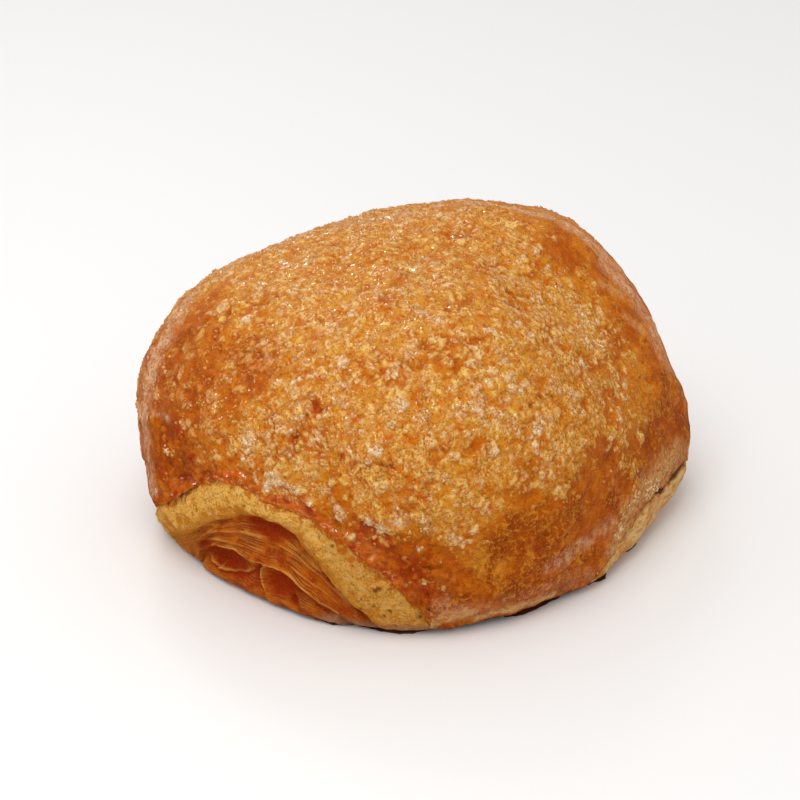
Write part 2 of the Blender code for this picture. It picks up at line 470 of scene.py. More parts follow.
# Bare caramel
GLAZE_SPOTS = (
    (-162, 44, 1.7), (-165, 38, 1.4), (-148, 24.5, 2.2), (-142, 18.5, 2.8), (-138, 14, 2.6),
    (-108, 42.5, 1.2), (-57, 38.5, 2.2), (157, 50, 1.3), (164, 31, 3.4), (176, 40, 2.2),
    (160, 19, 4.2), (-176, 27, 2.6), (-79, 35, 2.2), (-35, 53, 4.5), (-89, 53.5, 1.3),
    (-151, 36, 1.2), (-144, 36, 1.2), (120, 44, 2.5), (45, 42, 2.5), (85, 30, 3),
)
# Dark red pools of caramel
RED_SPOTS = (
    (-149, 22.9, 1.7), (-145, 21.5, 2), (-139, 17, 2.9), (-138, 13.5, 2.4), (-162, 44, 1.3),
    (-165, 26.6, 1), (-160, 26, 1.2), (173, 24.9, 0.9), (152, 19, 1.4), (158, 26, 1.6),
    (-165, 38, 1), (160, 20, 2.4), (164, 31, 2.2), (-108, 42.5, 1), (170, 27, 1.8), (85, 30, 1.8),
)
# Toffee-coloured parts, where the clumps of sugar are amber and the gaps brown
TOFFEE_SPOTS = (
    (160, 20, 15), (149, 34, 15), (166, 38, 10), (-140, 15, 7), (176, 46, 7), (95, 24, 14),
    (40, 30, 14),
)
# Wet, shining caramel
WET_SPOTS = ((-142, 18.5, 3), (-138, 14, 3), (-133, 13, 2.4), (-148, 24, 2), (164, 24, 4))
# Painted sheen, a dull pinkish haze along the rims and low on the sides: points as degrees and
# height, half width, strength
PAINTED_SHEEN_ROUTES = (
    (((-26, 47), (-33, 42), (-37, 35), (-41, 31)), 3.8, 1.2),
    (((142, 45), (148, 36), (147, 29.5), (149, 24), (153, 15)), 3, 1.6),
    (((150, 28.7), (156, 31.1), (160, 31.5)), 0.7, 0.8),
    (((-110, 10.8), (-103, 11.8), (-97, 12), (-90, 13.2)), 1.5, 0.75),
    (((-88, 2.4), (-96, 3.4), (-105, 4.4), (-115, 5.6), (-125, 4.8), (-134, 6.4)), 2.4, 0.32),
    (((144, 43.2), (136, 46.2), (124, 51.6), (105, 55.5), (60, 57)), 2.6, 1.8),
    (((30, 57.2), (12, 56.7), (-6, 55.4), (-14, 52.5), (-21, 50.3)), 2.4, 1.8),
    (((-134, 9), (-132, 6)), 1.8, 0.6),
    (((60, 9), (80, 11), (95, 12), (125, 8)), 4.5, 0.45),
    (((133, 46), (136, 36), (136, 26), (140, 17)), 6.5, 0.6),
    (((133, 42), (118, 48), (95, 52), (60, 54), (20, 54), (-8, 51)), 6, 0.55),
    (((-14, 47), (-22, 39), (-29, 30), (-34, 22)), 6.5, 0.5),
)
# Pale, dusty dough, in the same way: beside the seam, in smears on the right, and along the base
DUST_ROUTES = (
    (((-57, 15), (-66, 14), (-74, 14), (-80, 12.5), (-84, 10.5), (-87, 7)), 3.3, 0.85),
    (((-49, 13), (-57, 14)), 2.4, 0.5),
    (((-40, 46.6), (-39, 43.6)), 1.1, 0.55),
    (((-45, 40.5), (-44, 37)), 1.2, 0.5),
    (((-132, 4), (-129, 5.4), (-127, 4.8)), 1.2, 1.2),
    (((-126, 2.4), (-121, 3.2), (-114, 3.2), (-107, 2.4)), 1.2, 1.2),
    (((-136, 1.5), (-134, 4.5)), 1, 1),
    (((75, 2.5), (90, 3), (104, 2)), 1, 0.8),
)
# Broad regions with more caramel than sugar: degrees, height, spread, share
CARAMEL_REGIONS = (
    (162, 24, 13, 0.9), (172, 44, 13, 0.45), (-34, 50, 13, 0.8), (-18, 38, 18, 0.6),
    (-79, 35, 6, 0.15), (-62, 30, 8, 0.45), (-140, 18, 9, 0.8), (150, 42, 16, 0.6),
    (60, 45, 14, 0.5), (110, 36, 16, 0.5),
)
# Height at which the sugared crust ends, against degrees round the bun
SUGAR_EDGE = (
    (-180, 28.5), (-165, 29), (-152, 26), (-142, 20), (-135, 17), (-128, 22), (-122, 26),
    (-110, 28), (-94, 26.5), (-84, 27), (-73, 30), (-63, 34), (-55, 38), (-47, 45), (-35, 50),
    (-15, 46), (20, 38), (60, 32), (120, 30), (150, 30), (165, 31), (180, 28.5),
)
SUGAR_FARTHEST = 23.0         # X beyond which the sugar thins out
SUGAR_LEFT = 0.25             # share of it that is left there
SUGAR_FADES = (6.0, 5.0)      # half the width of its fade at its lower edge and at that X
SUGAR_RAGS = 5.0              # how ragged both are
REGION_FADE = (1.25, 0.45)    # how a region of caramel fades, against its spread
REGION_RAGS = 0.22
NEAR_SPAN = (-20, -36)        # X over which the near end begins
STRIP_FEET = (9.0, 13.0)      # heights over which the near end's lip gets its strip of caramel
STRIP_FADE = (3.4, 1.1)       # how the strip fades upwards, against its width
STRIP_WANDER = 1.3            # how far it wanders off the lip
STRIP_RAGS = 1.5              # and how ragged it is
STRIP_WIDTHS = ((150, 1.0), (198, 1.0), (208, 1.6), (220, 1.9), (228, 1.5))   # against degrees
# The left shoulder of the near end, bare and wet: degrees it fades in and out over, and heights
SHOULDER = ((140, 152), (184, 168), (38, 28))
SHOULDER_FADE = (-0.5, 0.3)   # how the pattern of bare caramel fades there
CARAMEL_FADE = (0.25, 0.75)   # and everywhere else
CARAMEL_MOST = 0.8            # how much it covers there at most
CARAMEL_GAIN = 0.35           # how much it spreads where there is no sugar
SHARP = (1.15, 0.5)           # how a patch fades, against its size: crisply
SOFT = (1.7, 0.0)             # or gradually
PATCH_RAGS = 0.42
ROUTE_FADE = (1.7, 0.1)       # how a route fades, against its half width
ROUTE_RAGS = 0.38
CRACK_WANDER = 0.8            # how far a crack wanders off its line
CRACK_STAIN = 1.6             # how much wider the caramel in a crack is than the crack
# Clumps of sugar, large and small: cell and seed, and the height of the small ones
LARGE_CLUMPS = (2.3, 131)
SMALL_CLUMPS = (1.35, 151)
SMALL_SHARE = 0.8
CLUMPS_SHARE = 0.68           # share of fully sugared crust that the clumps take up
CLUMPS_LESS = 0.06            # taken off that share everywhere
CLUMPS_LOST = (0.50, 0.6)     # how much rarer they are on bare caramel, and on the strip
CLUMPS_MARKED = 0.5           # how much commoner in a marked patch
FROST_LEAST = (0.10, 0.35)    # frost on the darkest clumps, and on those where sugar is thin
FROST_FADE = (-0.7, 0.8)      # how the frost comes and goes from patch to patch
MARKED_FADE = (-0.9, 0.3)     # and within a marked patch

# ---- Crust: its surface ----
CRUST_SPACING = 0.33
TABLE_ROWS = 400
RING_SAMPLES = 2400
LEAST_RING = 8                # fewest points in a ring
LIP_RADIUS = 0.34
LIP_STEPS = 6
LIP_TURN = 0.01               # turn by which the curl looks back up the crust
LIP_TAIL = (1.2, 0.72)        # how far the last ring of the edge runs on upwards and inwards
CRUST_PARTS = ("crust_top", "crust_middle", "crust_side")
# Heights of the relief, in millimetres
RELIEF_LEVEL = 0.45           # how much of it stands below the plain form
BROAD_LUMPS = ((24.0, 1, 0.55), (10.0, 2, 0.50))   # cell, seed, height
SIDE_LUMP = 0.24
CRUSTY = (0.25, 0.09)         # everywhere, and more where sugared
FOLD = 0.22
GRANULE = 0.10
CLUMP = 0.26
FROST_RISE = 0.12
GLAZE_SINK = 0.22
STRIP_RISE = (0.30, 0.20)     # everywhere, and more at the very lip
STREAK = 0.035


def turn_table(theta):
    """Turns of evenly spaced steps down each meridian, from the top to the lip."""
    even = np.linspace(0.0, 1.0, TABLE_ROWS + 1)
    turns = turn_at(theta, lip_height(theta))[:, None] * even
    points = skin(np.broadcast_to(theta[:, None], turns.shape), turns)
    steps = lengths(np.diff(points, axis=1))
    travelled = np.concatenate((np.zeros((len(theta), 1)), np.cumsum(steps, axis=1)), axis=1)
    table = [np.interp(even, way / way[-1], turn) for way, turn in zip(travelled, turns)]
    return np.array(table), travelled[:, -1].mean()


def ring_points(theta, turns):
    """Angles and turns of points at even distances along one ring of the skin."""
    steps = lengths(np.diff(skin(theta, turns), axis=0))
    travelled = np.concatenate(([0.0], np.cumsum(steps)))
    count = max(LEAST_RING, int(round(travelled[-1] / CRUST_SPACING)))
    wanted = np.linspace(0.0, travelled[-1], count, endpoint=False)
    angles = np.interp(wanted, travelled, theta)
    return angles, np.interp(angles, theta, turns)


def crust_rings():
    """Rings of points of the smooth crust, from the top to the edge rolled under."""
    theta = np.linspace(0.0, 2.0 * np.pi, RING_SAMPLES + 1)
    table, length = turn_table(theta)
    ring_count = int(round(length / CRUST_SPACING))
    rings = [skin(np.zeros(1), np.zeros(1))]
    for ring in range(1, ring_count + 1):
        column = ring / ring_count * TABLE_ROWS
        low = min(int(column), TABLE_ROWS - 1)
        turns = table[:, low] + (column - low) * (table[:, low + 1] - table[:, low])
        angles, ring_turns = ring_points(theta, turns)
        rings.append(skin(angles, ring_turns))
    return rings + lip_curl(rings[-1], skin(angles, ring_turns - LIP_TURN))


def lip_curl(edge, above):
    """Rings that roll the crust's edge under itself, so that it shows its thickness."""
    along = unit(np.roll(edge, -1, axis=0) - np.roll(edge, 1, axis=0))
    outward = unit(np.cross(edge - above, along))
    down = np.cross(along, outward)
    rings = []
    for step in range(1, LIP_STEPS + 1):
        bend = np.pi * step / LIP_STEPS
        tail_up, tail_in = LIP_TAIL if step == LIP_STEPS else (0.0, 0.0)
        reach = LIP_RADIUS * np.sin(bend) - tail_up
        drop = LIP_RADIUS * (1.0 - np.cos(bend)) + tail_in
        rings.append(edge + down * reach - outward * drop)
    return rings


def away_from(points, route):
    """Distance of each point from a line over the crust, given as degrees and heights."""
    corners = [on_crust(degrees, height) for degrees, height in route]
    nearest = np.full(len(points), 99.0)
    for start, end in zip(corners, corners[1:]):
        run = end - start
        share = np.clip((points - start) @ run / (run @ run), 0.0, 1.0)
        nearest = np.minimum(nearest, lengths(points - start - share[:, None] * run))
    return nearest


def crack_depth(points):
    """Depth of the cracks at each point, and how much each point lies in one."""
    depth = np.zeros(len(points))
    inside = np.zeros(len(points))
    wander = CRACK_WANDER * noise_vector(points, 3.0, 71)
    for route, width, deep in CRACKS:
        away = away_from(points + wander, route)
        depth = np.maximum(depth, deep * np.exp(-(away / width) ** 2))
        inside = np.maximum(inside, np.exp(-(away / (CRACK_STAIN * width)) ** 2))
    return depth, inside


def along_routes(points, routes, seed):
    """How much each point lies along one of the routes, which fade out raggedly."""
    ragged = ROUTE_RAGS * octaves(points, 3.0, seed, 4, gain=0.65)
    cover = np.zeros(len(points))
    for route, width, strength in routes:
        away = away_from(points, route) / width + ragged
        cover = np.maximum(cover, strength * smooth_step(*ROUTE_FADE, away))
    return cover


def spots(points, marks, seed, edges=SHARP):
    """How much each point lies in one of the marked patches, which have ragged edges."""
    ragged = PATCH_RAGS * octaves(points, 1.7, seed, 3)
    cover = np.zeros(len(points))
    for degrees, height, size in marks:
        away = lengths(points - on_crust(degrees, height)) / size + ragged
        cover = np.maximum(cover, smooth_step(*edges, away))
    return cover


def clumps(points, cell, seed, density):
    """Raised lumps of sugar, and how pale each is; the density is the share that is there."""
    bend = 0.40 * cell * noise_vector(points, 0.7 * cell, seed + 11)
    nearest, second, number = grains(points + bend, cell, seed)
    present = smooth_step(-0.10, 0.10, density - number)
    return present * smooth_step(0.03, 0.30, second - nearest), number * 7.31 % 1.0


def sugar_cover(points):
    """How sugared the crust is at each point, from 0 to 1."""
    edge = np.interp(np.degrees(angle_of(points)), *np.array(SUGAR_EDGE).T)
    ragged = octaves(points, 8.0, 11, 4, gain=0.6)
    low_fade, far_fade = SUGAR_FADES
    low = smooth_step(-low_fade, low_fade, points[:, 2] - edge + SUGAR_RAGS * ragged)
    far = smooth_step(-far_fade, far_fade, SUGAR_FARTHEST - points[:, 0] + SUGAR_RAGS * ragged)
    cover = low * (SUGAR_LEFT + (1.0 - SUGAR_LEFT) * far)
    for degrees, height, spread, share in CARAMEL_REGIONS:
        away = lengths(points - place(degrees, height)) / spread
        cover = cover * (1.0 - share * smooth_step(*REGION_FADE, away + REGION_RAGS * ragged))
    return cover


def over_lip(points):
    """Height of each point over the crust's edge below it."""
    return points[:, 2] - lip_height(angle_of(points))


def near_end(points):
    """How much each point belongs to the near end's side of the crust."""
    return smooth_step(*NEAR_SPAN, points[:, 0])


def lip_strip(points, degrees):
    """The strip of caramel just over the near end's lip."""
    near = near_end(points) * smooth_step(*STRIP_FEET, points[:, 2])
    width = np.interp(degrees, *np.array(STRIP_WIDTHS).T)
    shaken = points + STRIP_WANDER * noise_vector(points, 2.6, 81)
    away = over_lip(shaken) / width + STRIP_RAGS * octaves(points, 3.0, 64, 3, gain=0.6)
    return smooth_step(*STRIP_FADE, away) * near


def caramel_cover(points, sugar):
    """Where bare caramel shows in all, on the strip over the lip and on the left shoulder."""
    degrees = np.degrees(angle_of(points)) % 360.0
    field = octaves(points, 5.5, 61, 3, gain=0.6, stretch=(1.4, 0.8, 0.8))
    shoulder = 1.0
    for span, value in zip(SHOULDER, (degrees, degrees, points[:, 2])):
        shoulder = shoulder * smooth_step(*span, value)
    strip = lip_strip(points, degrees)
    bare = shoulder * smooth_step(*SHOULDER_FADE, field)
    cover = smooth_step(*CARAMEL_FADE, field + CARAMEL_GAIN * (1.0 - sugar)) * CARAMEL_MOST
    for more in (bare, strip, spots(points, GLAZE_SPOTS, 65)):
        cover = np.maximum(cover, more)
    return cover, strip, shoulder


def clotted_sugar(points, sugar, glaze, strip):
    """Clumps of sugar over the crust, and how frosted they are."""
    # marked patches: clotted sugar, and two painted glints
    marked = spots(points, FROST_AND_GLINT_SPOTS, 68)
    region = 0.35 * noise(points, 13.0, 30, stretch=(1.6, 0.8, 0.8))
    clotted = octaves(points, 2.6, 31, 3, gain=0.6, stretch=(1.2, 0.9, 0.9)) + region
    on_glaze, on_strip = CLUMPS_LOST
    density = CLUMPS_SHARE * sugar - CLUMPS_LESS
    density = density * (1.0 - on_glaze * glaze) * (1.0 - on_strip * strip)
    density = density + CLUMPS_MARKED * marked
    large, large_pale = clumps(points, *LARGE_CLUMPS, density)
    small, small_pale = clumps(points, *SMALL_CLUMPS, density)
    whiteness = np.where(large >= SMALL_SHARE * small, large_pale, small_pale) ** 1.4
    clump = np.maximum(large, SMALL_SHARE * small)
    darkest, thinnest = FROST_LEAST
    frost = clump * (darkest + (1.0 - darkest) * whiteness) * smooth_step(*FROST_FADE, clotted)
    frost = frost * (thinnest + (1.0 - thinnest) * sugar)
    return clump, np.maximum(frost, marked * smooth_step(*MARKED_FADE, clotted))


def crust_tones(points, in_crack):
    """How much of everything lies at each point, for the relief, crystals and materials."""
    sugar = sugar_cover(points)
    glaze, strip, shoulder = caramel_cover(points, sugar)
    clump, frost = clotted_sugar(points, sugar, glaze, strip)
    nearest, _, number = grains(points, 1.25, 41)
    return {
        "sugar": sugar,
        "glaze": glaze,
        "strip": strip,
        "clump": clump,
        "frost": frost,
        "granule": np.clip(1.0 - nearest ** 2 * 1.8, 0.0, 1.0) * (0.3 + 0.7 * number),
        "lump": clumps(points, 2.6, 171, 0.75)[0] * (1.0 - sugar) * near_end(points),
        "red": np.maximum(in_crack, spots(points, RED_SPOTS, 59)),
        "wet": np.maximum(strip, 0.6 * shoulder) + spots(points, WET_SPOTS, 66),
        "golden": spots(points, GOLD_SPOTS, 78, SOFT) - spots(points, DARK_SPOTS, 79, SOFT),
        "toffee": spots(points, TOFFEE_SPOTS, 80, SOFT),
        "pale": along_routes(points, DUST_ROUTES, 75),
        # painted sheen along the rims and low on the sides
        "painted_sheen": along_routes(points, PAINTED_SHEEN_ROUTES, 76),
        "foot": smooth_step(1.6, 0.3, points[:, 2] + 0.9 * noise(points, 4.0, 77)),
    }


def crust_relief(points, tones, crack):
    """How far each point stands out from the smooth crust, in millimetres."""
    sugar, glaze, strip = tones["sugar"], tones["glaze"], tones["strip"]
    crusty = octaves(points, 4.6, 51, 4, gain=0.55, stretch=(1.4, 0.9, 0.9))
    folds = 1.0 - np.abs(octaves(points, 7.5, 55, 2, stretch=(0.8, 1.3, 0.8))) * 2.2
    streaks = noise(points, 1.6, 57, stretch=(0.8, 0.8, 2.6))
    low_strip = smooth_step(2.0, 0.8, over_lip(points))
    relief = sum(height * noise(points, cell, seed) for cell, seed, height in BROAD_LUMPS)
    return (relief
            + SIDE_LUMP * tones["lump"]
            + (CRUSTY[0] + CRUSTY[1] * sugar) * crusty
            + FOLD * np.maximum(folds, 0.0) * smooth_step(3.0, 9.0, points[:, 2])
            + GRANULE * tones["granule"] * (0.3 + 0.7 * sugar) * (1.0 - 0.6 * glaze)
            + CLUMP * tones["clump"]
            + FROST_RISE * tones["frost"]
            - GLAZE_SINK * glaze * (1.0 - strip)
            + (STRIP_RISE[0] + STRIP_RISE[1] * low_strip) * strip
            - RELIEF_LEVEL
            + STREAK * streaks * (1.0 - sugar)
            - crack)


def split_rings(starts, parts):
    """First and last ring of each part of the crust, with about as many points in each."""
    limits = [int(np.searchsorted(starts, starts[-1] * part / parts)) for part in range(parts)]
    limits.append(len(starts) - 2)
    return zip(limits, limits[1:])


def make_crust(material):
    """The crust in three pieces, ring by ring; its points, faces and tones."""
    points, faces, starts = netted(crust_rings())
    crack, in_crack = crack_depth(points)
    tones = crust_tones(points, in_crack)
    relief = crust_relief(points, tones, crack)
    offsets = vertex_normals(points, faces) * relief[:, None]
    edge = len(starts) - LIP_STEPS - 2
    for ring in range(edge + 1, len(starts) - 1):
        offsets[starts[ring]:starts[ring + 1]] = offsets[starts[edge]:starts[edge + 1]]
    shaped = pushed(points + offsets)
    shaped[:, 2] = np.maximum(shaped[:, 2], 0.0)
    values = {**tones, "normal": vertex_normals(shaped, faces)}
    for name, (first, last) in zip(CRUST_PARTS, split_rings(starts, len(CRUST_PARTS))):
        inside = np.all((faces >= starts[first]) & (faces < starts[last + 1]), axis=1)
        part_points, part_faces, part = used_only(shaped, faces[inside], values)
        normals = part.pop("normal")
        piece = make_piece(name, part_points, part_faces, material, part, normals)
    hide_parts(NODE)
    return shaped, faces, tones


# ---- Sugar crystals ----
# Of each kind: how many, their least and greatest size, the share of it that is sunk, and a seed
FINE_CRYSTALS = (10000, (0.32, 0.75), 0.42, 5)
COARSE_CRYSTALS = (1900, (0.40, 0.85), 0.38, 6)
CRYSTAL_SHAPE = (0.6, 1.25)   # least and greatest length of each side, against the size
CRYSTAL_SKEW = 0.12           # how far its corners are out of place, against the size
BOX_CORNERS = np.array([(x, y, z) for x in (-0.5, 0.5) for y in (-0.5, 0.5) for z in (-0.5, 0.5)])
BOX_FACES = np.array((
    (0, 1, 3), (0, 3, 2), (4, 6, 7), (4, 7, 5), (0, 4, 5), (0, 5, 1),
    (2, 3, 7), (2, 7, 6), (0, 2, 6), (0, 6, 4), (1, 5, 7), (1, 7, 3),
))


def scattered(points, faces, weight, count, draw):
    """Random places on a mesh, denser where the points' weight is greater."""
    corner = points[faces]
    normals = face_normals(points, faces)
    chance = lengths(normals) * weight[faces].mean(axis=1)
    chosen = draw.choice(len(faces), count, p=chance / chance.sum())
    shares = draw.dirichlet((1.0, 1.0, 1.0), count)
    places = (corner[chosen] * shares[:, :, None]).sum(axis=1)
    return places, unit(normals[chosen]), faces[chosen, 0]


def random_turns(count, draw):
    """Random rotation matrices, from random unit quaternions."""
    turns = draw.normal(size=(4, count))
    w, x, y, z = turns / np.linalg.norm(turns, axis=0)
    return np.stack((
        1 - 2 * (y * y + z * z), 2 * (x * y - z * w), 2 * (x * z + y * w),
        2 * (x * y + z * w), 1 - 2 * (x * x + z * z), 2 * (y * z - x * w),
        2 * (x * z - y * w), 2 * (y * z + x * w), 1 - 2 * (x * x + y * y),
    ), axis=1).reshape(count, 3, 3)


def make_crystals(name, kind, points, faces, weight, white, material):
    """Loose boxy crystals, half sunk in the crust, as one mesh."""
    count, sizes, sunk, seed = kind
    draw = np.random.default_rng(seed)
    places, normals, beside = scattered(points, faces, weight, count, draw)
    size = draw.uniform(*sizes, count)
    shape = draw.uniform(*CRYSTAL_SHAPE, (count, 1, 3)) * size[:, None, None]
    uneven = BOX_CORNERS + draw.uniform(-CRYSTAL_SKEW, CRYSTAL_SKEW, (count, 8, 3))
    corners = np.einsum("nij,nkj->nki", random_turns(count, draw), uneven * shape)
    corners += (places - normals * (sunk * size)[:, None])[:, None, :]
    index = BOX_FACES[None] + 8 * np.arange(count)[:, None, None]
    tones = {"pale": np.repeat(draw.uniform(0.0, 0.55, count) + 0.45 * white[beside], 8)}
    make_piece(name, corners.reshape(-1, 3), index.reshape(-1, 3), material, tones, smooth=False)


def make_sugar(points, faces, tones, material):
    """Fine crystals where the crust is sugared, and coarse ones where the sugar has clotted."""
    open_sugar = tones["sugar"] * (1.0 - 0.85 * tones["glaze"]) * (0.35 + tones["granule"])
    fine = open_sugar + 0.8 * tones["frost"] + 0.001
    coarse = 0.04 * open_sugar + tones["frost"] ** 2 + 0.03 * tones["red"]
    coarse = coarse + 0.9 * spots(points, FLECK_SPOTS, 69)
    white = np.maximum(tones["frost"], tones["pale"])
    make_crystals("sugar_fine", FINE_CRYSTALS, points, faces, fine, white, material)
    make_crystals("sugar_coarse", COARSE_CRYSTALS, points, faces, coarse, white, material)


# ---- Cut ends: their layers ----
# Depth behind the crust from the middle of the base (0) out to the lip (1)
END_PROFILE = (
    (0, -0.2), (0.08, 0), (0.2, 0.8), (0.3, 2), (0.37, 1.8), (0.41, 0.8), (0.46, 0.9), (0.55, 1.5),
    (0.6, 0.9), (0.66, 1.3), (0.74, 2.1), (0.79, 1.6), (0.82, 0.8), (0.86, 0.2), (0.93, -0.1),
    (0.97, 0.1), (1, 0.5),
)
# The nested arches of the near end, as degrees off its middle and height
BAND_FOOT = (
    (-33, 0), (-29.2, 4.2), (-23, 6.7), (-17.2, 10.5), (-11, 14.8), (-2.8, 18.8), (3.5, 20.4),
    (8.2, 20.2), (11.7, 18.8), (13.5, 16.9), (16.5, 14.2), (19.3, 11), (22.2, 8.1), (25.2, 5.3),
    (30, 0),
)
OUTER_FOLD = (
    (-24, 0), (-20.8, 5.4), (-15.4, 9.4), (-10.3, 12.6), (-3.2, 15.1), (3.2, 15.8), (7, 16.1),
    (11.8, 14.8), (14.3, 13.1), (17.2, 11.5), (20.2, 9.1), (23.8, 5.8), (28.5, 0),
)
INNER_FOLD = (
    (-20.5, 0), (-17.8, 5.2), (-11, 9.1), (-5, 10.5), (-0.7, 9.9), (2.5, 9.7), (6.5, 10.2),
    (9.5, 9.7), (12, 8.1), (14.5, 6.5), (17.8, 4.9), (20.2, 3.6), (24, 0),
)
END_ARCHES = ((0.40, INNER_FOLD), (0.60, OUTER_FOLD), (0.80, BAND_FOOT))
# Proud sheets of the near end, and how strong each is
NEAR_SHEETS = (
    (OUTER_FOLD[1:-1], 0.55),
    (INNER_FOLD[1:-1], 1.0),
    (((-10.8, 8.8), (-10.2, 6.2), (-11.5, 4)), 0.7),
    (((-16, 4.2), (-12, 3.4), (-7, 3.9), (-3.5, 5.2), (-1.6, 6.4)), 0.8),
    (((2.2, 9.2), (0.5, 7.6), (0.5, 5.8), (2, 3.9), (3, 0.9)), 0.9),
    (((-22, 6), (-13, 12.4), (-3, 16.6), (5, 17.6), (12, 15.9), (18, 11.6)), 0.45),
    (((9.5, 8.2), (13, 5.6), (18, 3.2), (22, 1.5)), 0.7),
    (((-18.5, 7.2), (-10, 10.9), (-2, 12.4), (8, 12.6), (14, 10), (20, 6.2)), 0.5),
)
# Hollows of the near end: degrees off its middle, height, half width, half height, depth
NEAR_HOLLOWS = (
    (4.5, 18.2, 7.5, 1.8, 1.1), (-9.5, 6.3, 7.5, 2.6, 1.6),
    (6.5, 6, 4.5, 2.8, 1.6), (9.7, 3.4, 1.3, 1.2, 1.6),
)
# Toasted patches of the band of crumb: degrees off the middle, height, size
TOAST_SPOTS = ((12.5, 18.8, 3.2), (15, 15.2, 2.2), (-25.5, 8.4, 2.2), (-2, 19.6, 2))
LEAST_RISE = 0.02             # how much each arch stands over the next one in, at least
REACH_PER_DEGREE = 0.89       # millimetres along the end for each degree
FLAT_FEET = (0.65, 20, 33)    # share of the depth lost towards the feet, and degrees where
BAND_EDGE = (0.81, 0.77)      # level over which the band of crumb gives way to the layers
LAMINATIONS = 44.0            # thin layers from the lip to the middle
SHEET_EDGE = 0.17             # half the thickness of a dough sheet's proud edge
SHEET_SHADOW = 1.3            # how far the recess under a sheet's edge runs
SHEET_SINK = 0.65             # depth of that recess
SHEET_RISE = 0.50             # height of the edge
PIT_DEPTH = 0.35

# ---- Cut ends: their surface ----
# The near and far ends: degrees from and to, and a seed
NEAR_END = ((138.0, 231.0), 101)
FAR_END = ((-101.0, 51.0), 231)
END_SPACING = 0.19
END_RISE = 1.2                # how far the sheet of points runs on above the lip
BEHIND_LIP = 2.2              # how deep it lies there
FOOT_TUCK = 0.5               # how much further in it lies at the very foot
END_TUCKS = (0.8, 2.0, 3.6)   # how far the rings under the end lie inside its foot
# Bulge of the strip under the seam: degrees, spread, size
SEAM_BULGE = (-79.0, 13.0, 1.0)
# Holes along the seam: degrees, height, size
SEAM_HOLES = ((-75.5, 10.6, 0.9), (-79, 9, 0.7), (-83, 7.6, 0.9), (-87, 5.6, 0.8))
HOLE_DEPTH = 1.2
BULGE_SPANS = ((8.5, 4.5), (-1.0, 1.6))   # heights that the bulge fades out and in over
GAPING_SPANS = ((-76.0, -70.0), (-40.0, -48.0))   # degrees that the seam opens and closes over
GAPING_SHARE = 0.75           # how much of the crevice is only there
CREVICE_SPAN = (2.2, 0.8)     # how far under the lip the crevice fades out
CREVICE_LIPS = (4.0, 8.0)     # heights of the lip over which it deepens
BESIDE_SPAN = (1.02, 1.12)    # levels over which an end gives way to the seam's strip
BEHIND_SPAN = (-0.3, 0.8)     # heights over the lip over which it sinks behind the crust
FOOT_SPAN = (1.4, 0.0)        # heights over which it turns in at its foot
# The stained right foot of an end: heights and millimetres along it that the stain fades over
STAIN_HEIGHTS = (3.0, 1.7)
STAIN_ACROSS = (12.0, 17.0)


def mirrored(route, size):
    """The route turned round for the far end, which is a little lower."""
    return tuple((-degrees, height * size) for degrees, height in reversed(route))


def far_end():
    """Sheets and hollows of the far end, which are the near end's turned round."""
    size = CUT_ENDS[1][2] / CUT_ENDS[0][2]
    sheets = tuple((mirrored(route, size), strength) for route, strength in NEAR_SHEETS)
    hollows = tuple((-degrees, height * size, half_width, half_height * size, deep)
                    for degrees, height, half_width, half_height, deep in NEAR_HOLLOWS)
    return sheets, hollows


def end_level(theta, heights, end):
    """Which of the nested arches each point lies on: 1 at the lip, 0 in the middle."""
    centre, half_angle, lip, skew = end
    size = lip / CUT_ENDS[0][2]
    level = np.zeros(heights.shape)
    for column, angle in enumerate(theta):
        off = np.degrees(wrapped(angle - np.radians(centre)))
        turned = off * skew * CUT_ENDS[0][1] / half_angle
        rise, levels = [0.0], [0.0]
        for at, route in END_ARCHES:
            own = size * np.interp(turned, *np.array(route).T)
            rise.append(max(own, rise[-1] + LEAST_RISE))
            levels.append(at)
        own = lip * arch(off / half_angle, skew)
        own = own + lip_touch(angle) * smooth_step(*LIP_FADE, own)
        rise += [max(own, rise[-1] + LEAST_RISE), max(own, rise[-1]) + 3.0]
        level[:, column] = np.interp(heights[:, column], rise, levels + [1.0, 1.15])
    return level


def signed_distance(across, upward, route):
    """Distance to a line across the end: positive above it, negative below."""
    corners = np.array(route) * (REACH_PER_DEGREE, 1.0)
    away = np.full(across.shape, 99.0)
    signed = away.copy()
    for start, end in zip(corners, corners[1:]):
        run = end - start
        share = (across - start[0]) * run[0] + (upward - start[1]) * run[1]
        share = np.clip(share / (run @ run), 0.0, 1.0)
        gap_across = across - start[0] - share * run[0]
        gap_upward = upward - start[1] - share * run[1]
        distance = np.hypot(gap_across, gap_upward)
        side = np.where(run[0] * gap_upward - run[1] * gap_across >= 0.0, 1.0, -1.0)
        closer = distance < away
        away = np.where(closer, distance, away)
        signed = np.where(closer, side * distance, signed)
    return signed


def sheet_relief(across, upward, sheets, points, seed):
    """Depth that the proud sheets add, and how much each point lies on an edge or under one."""
    depth, edge, shadow = np.zeros((3, *across.shape))
    bend = 0.40 * noise(points, 4.5, seed) + 0.18 * octaves(points, 1.6, seed + 1, 2)
    ragged = noise(points, 1.8, seed + 30)
    width = SHEET_EDGE * (1.25 + 0.75 * ragged)
    for index, (route, strength) in enumerate(sheets):
        signed = signed_distance(across, upward + bend, route)
        power = strength * (0.70 + 0.45 * noise(points, 5.0, seed + 2 + index) + 0.25 * ragged)
        proud = np.exp(-((signed - 0.3) / width) ** 2)
        under = np.exp(-(np.minimum(signed, 0.0) / SHEET_SHADOW) ** 2)
        under = smooth_step(0.25, -0.30, signed) * under
        depth += power * (SHEET_SINK * under - SHEET_RISE * proud)
        edge = np.maximum(edge, power * proud)
        shadow = np.maximum(shadow, power * under * (1.0 - proud))
    return depth, edge, shadow


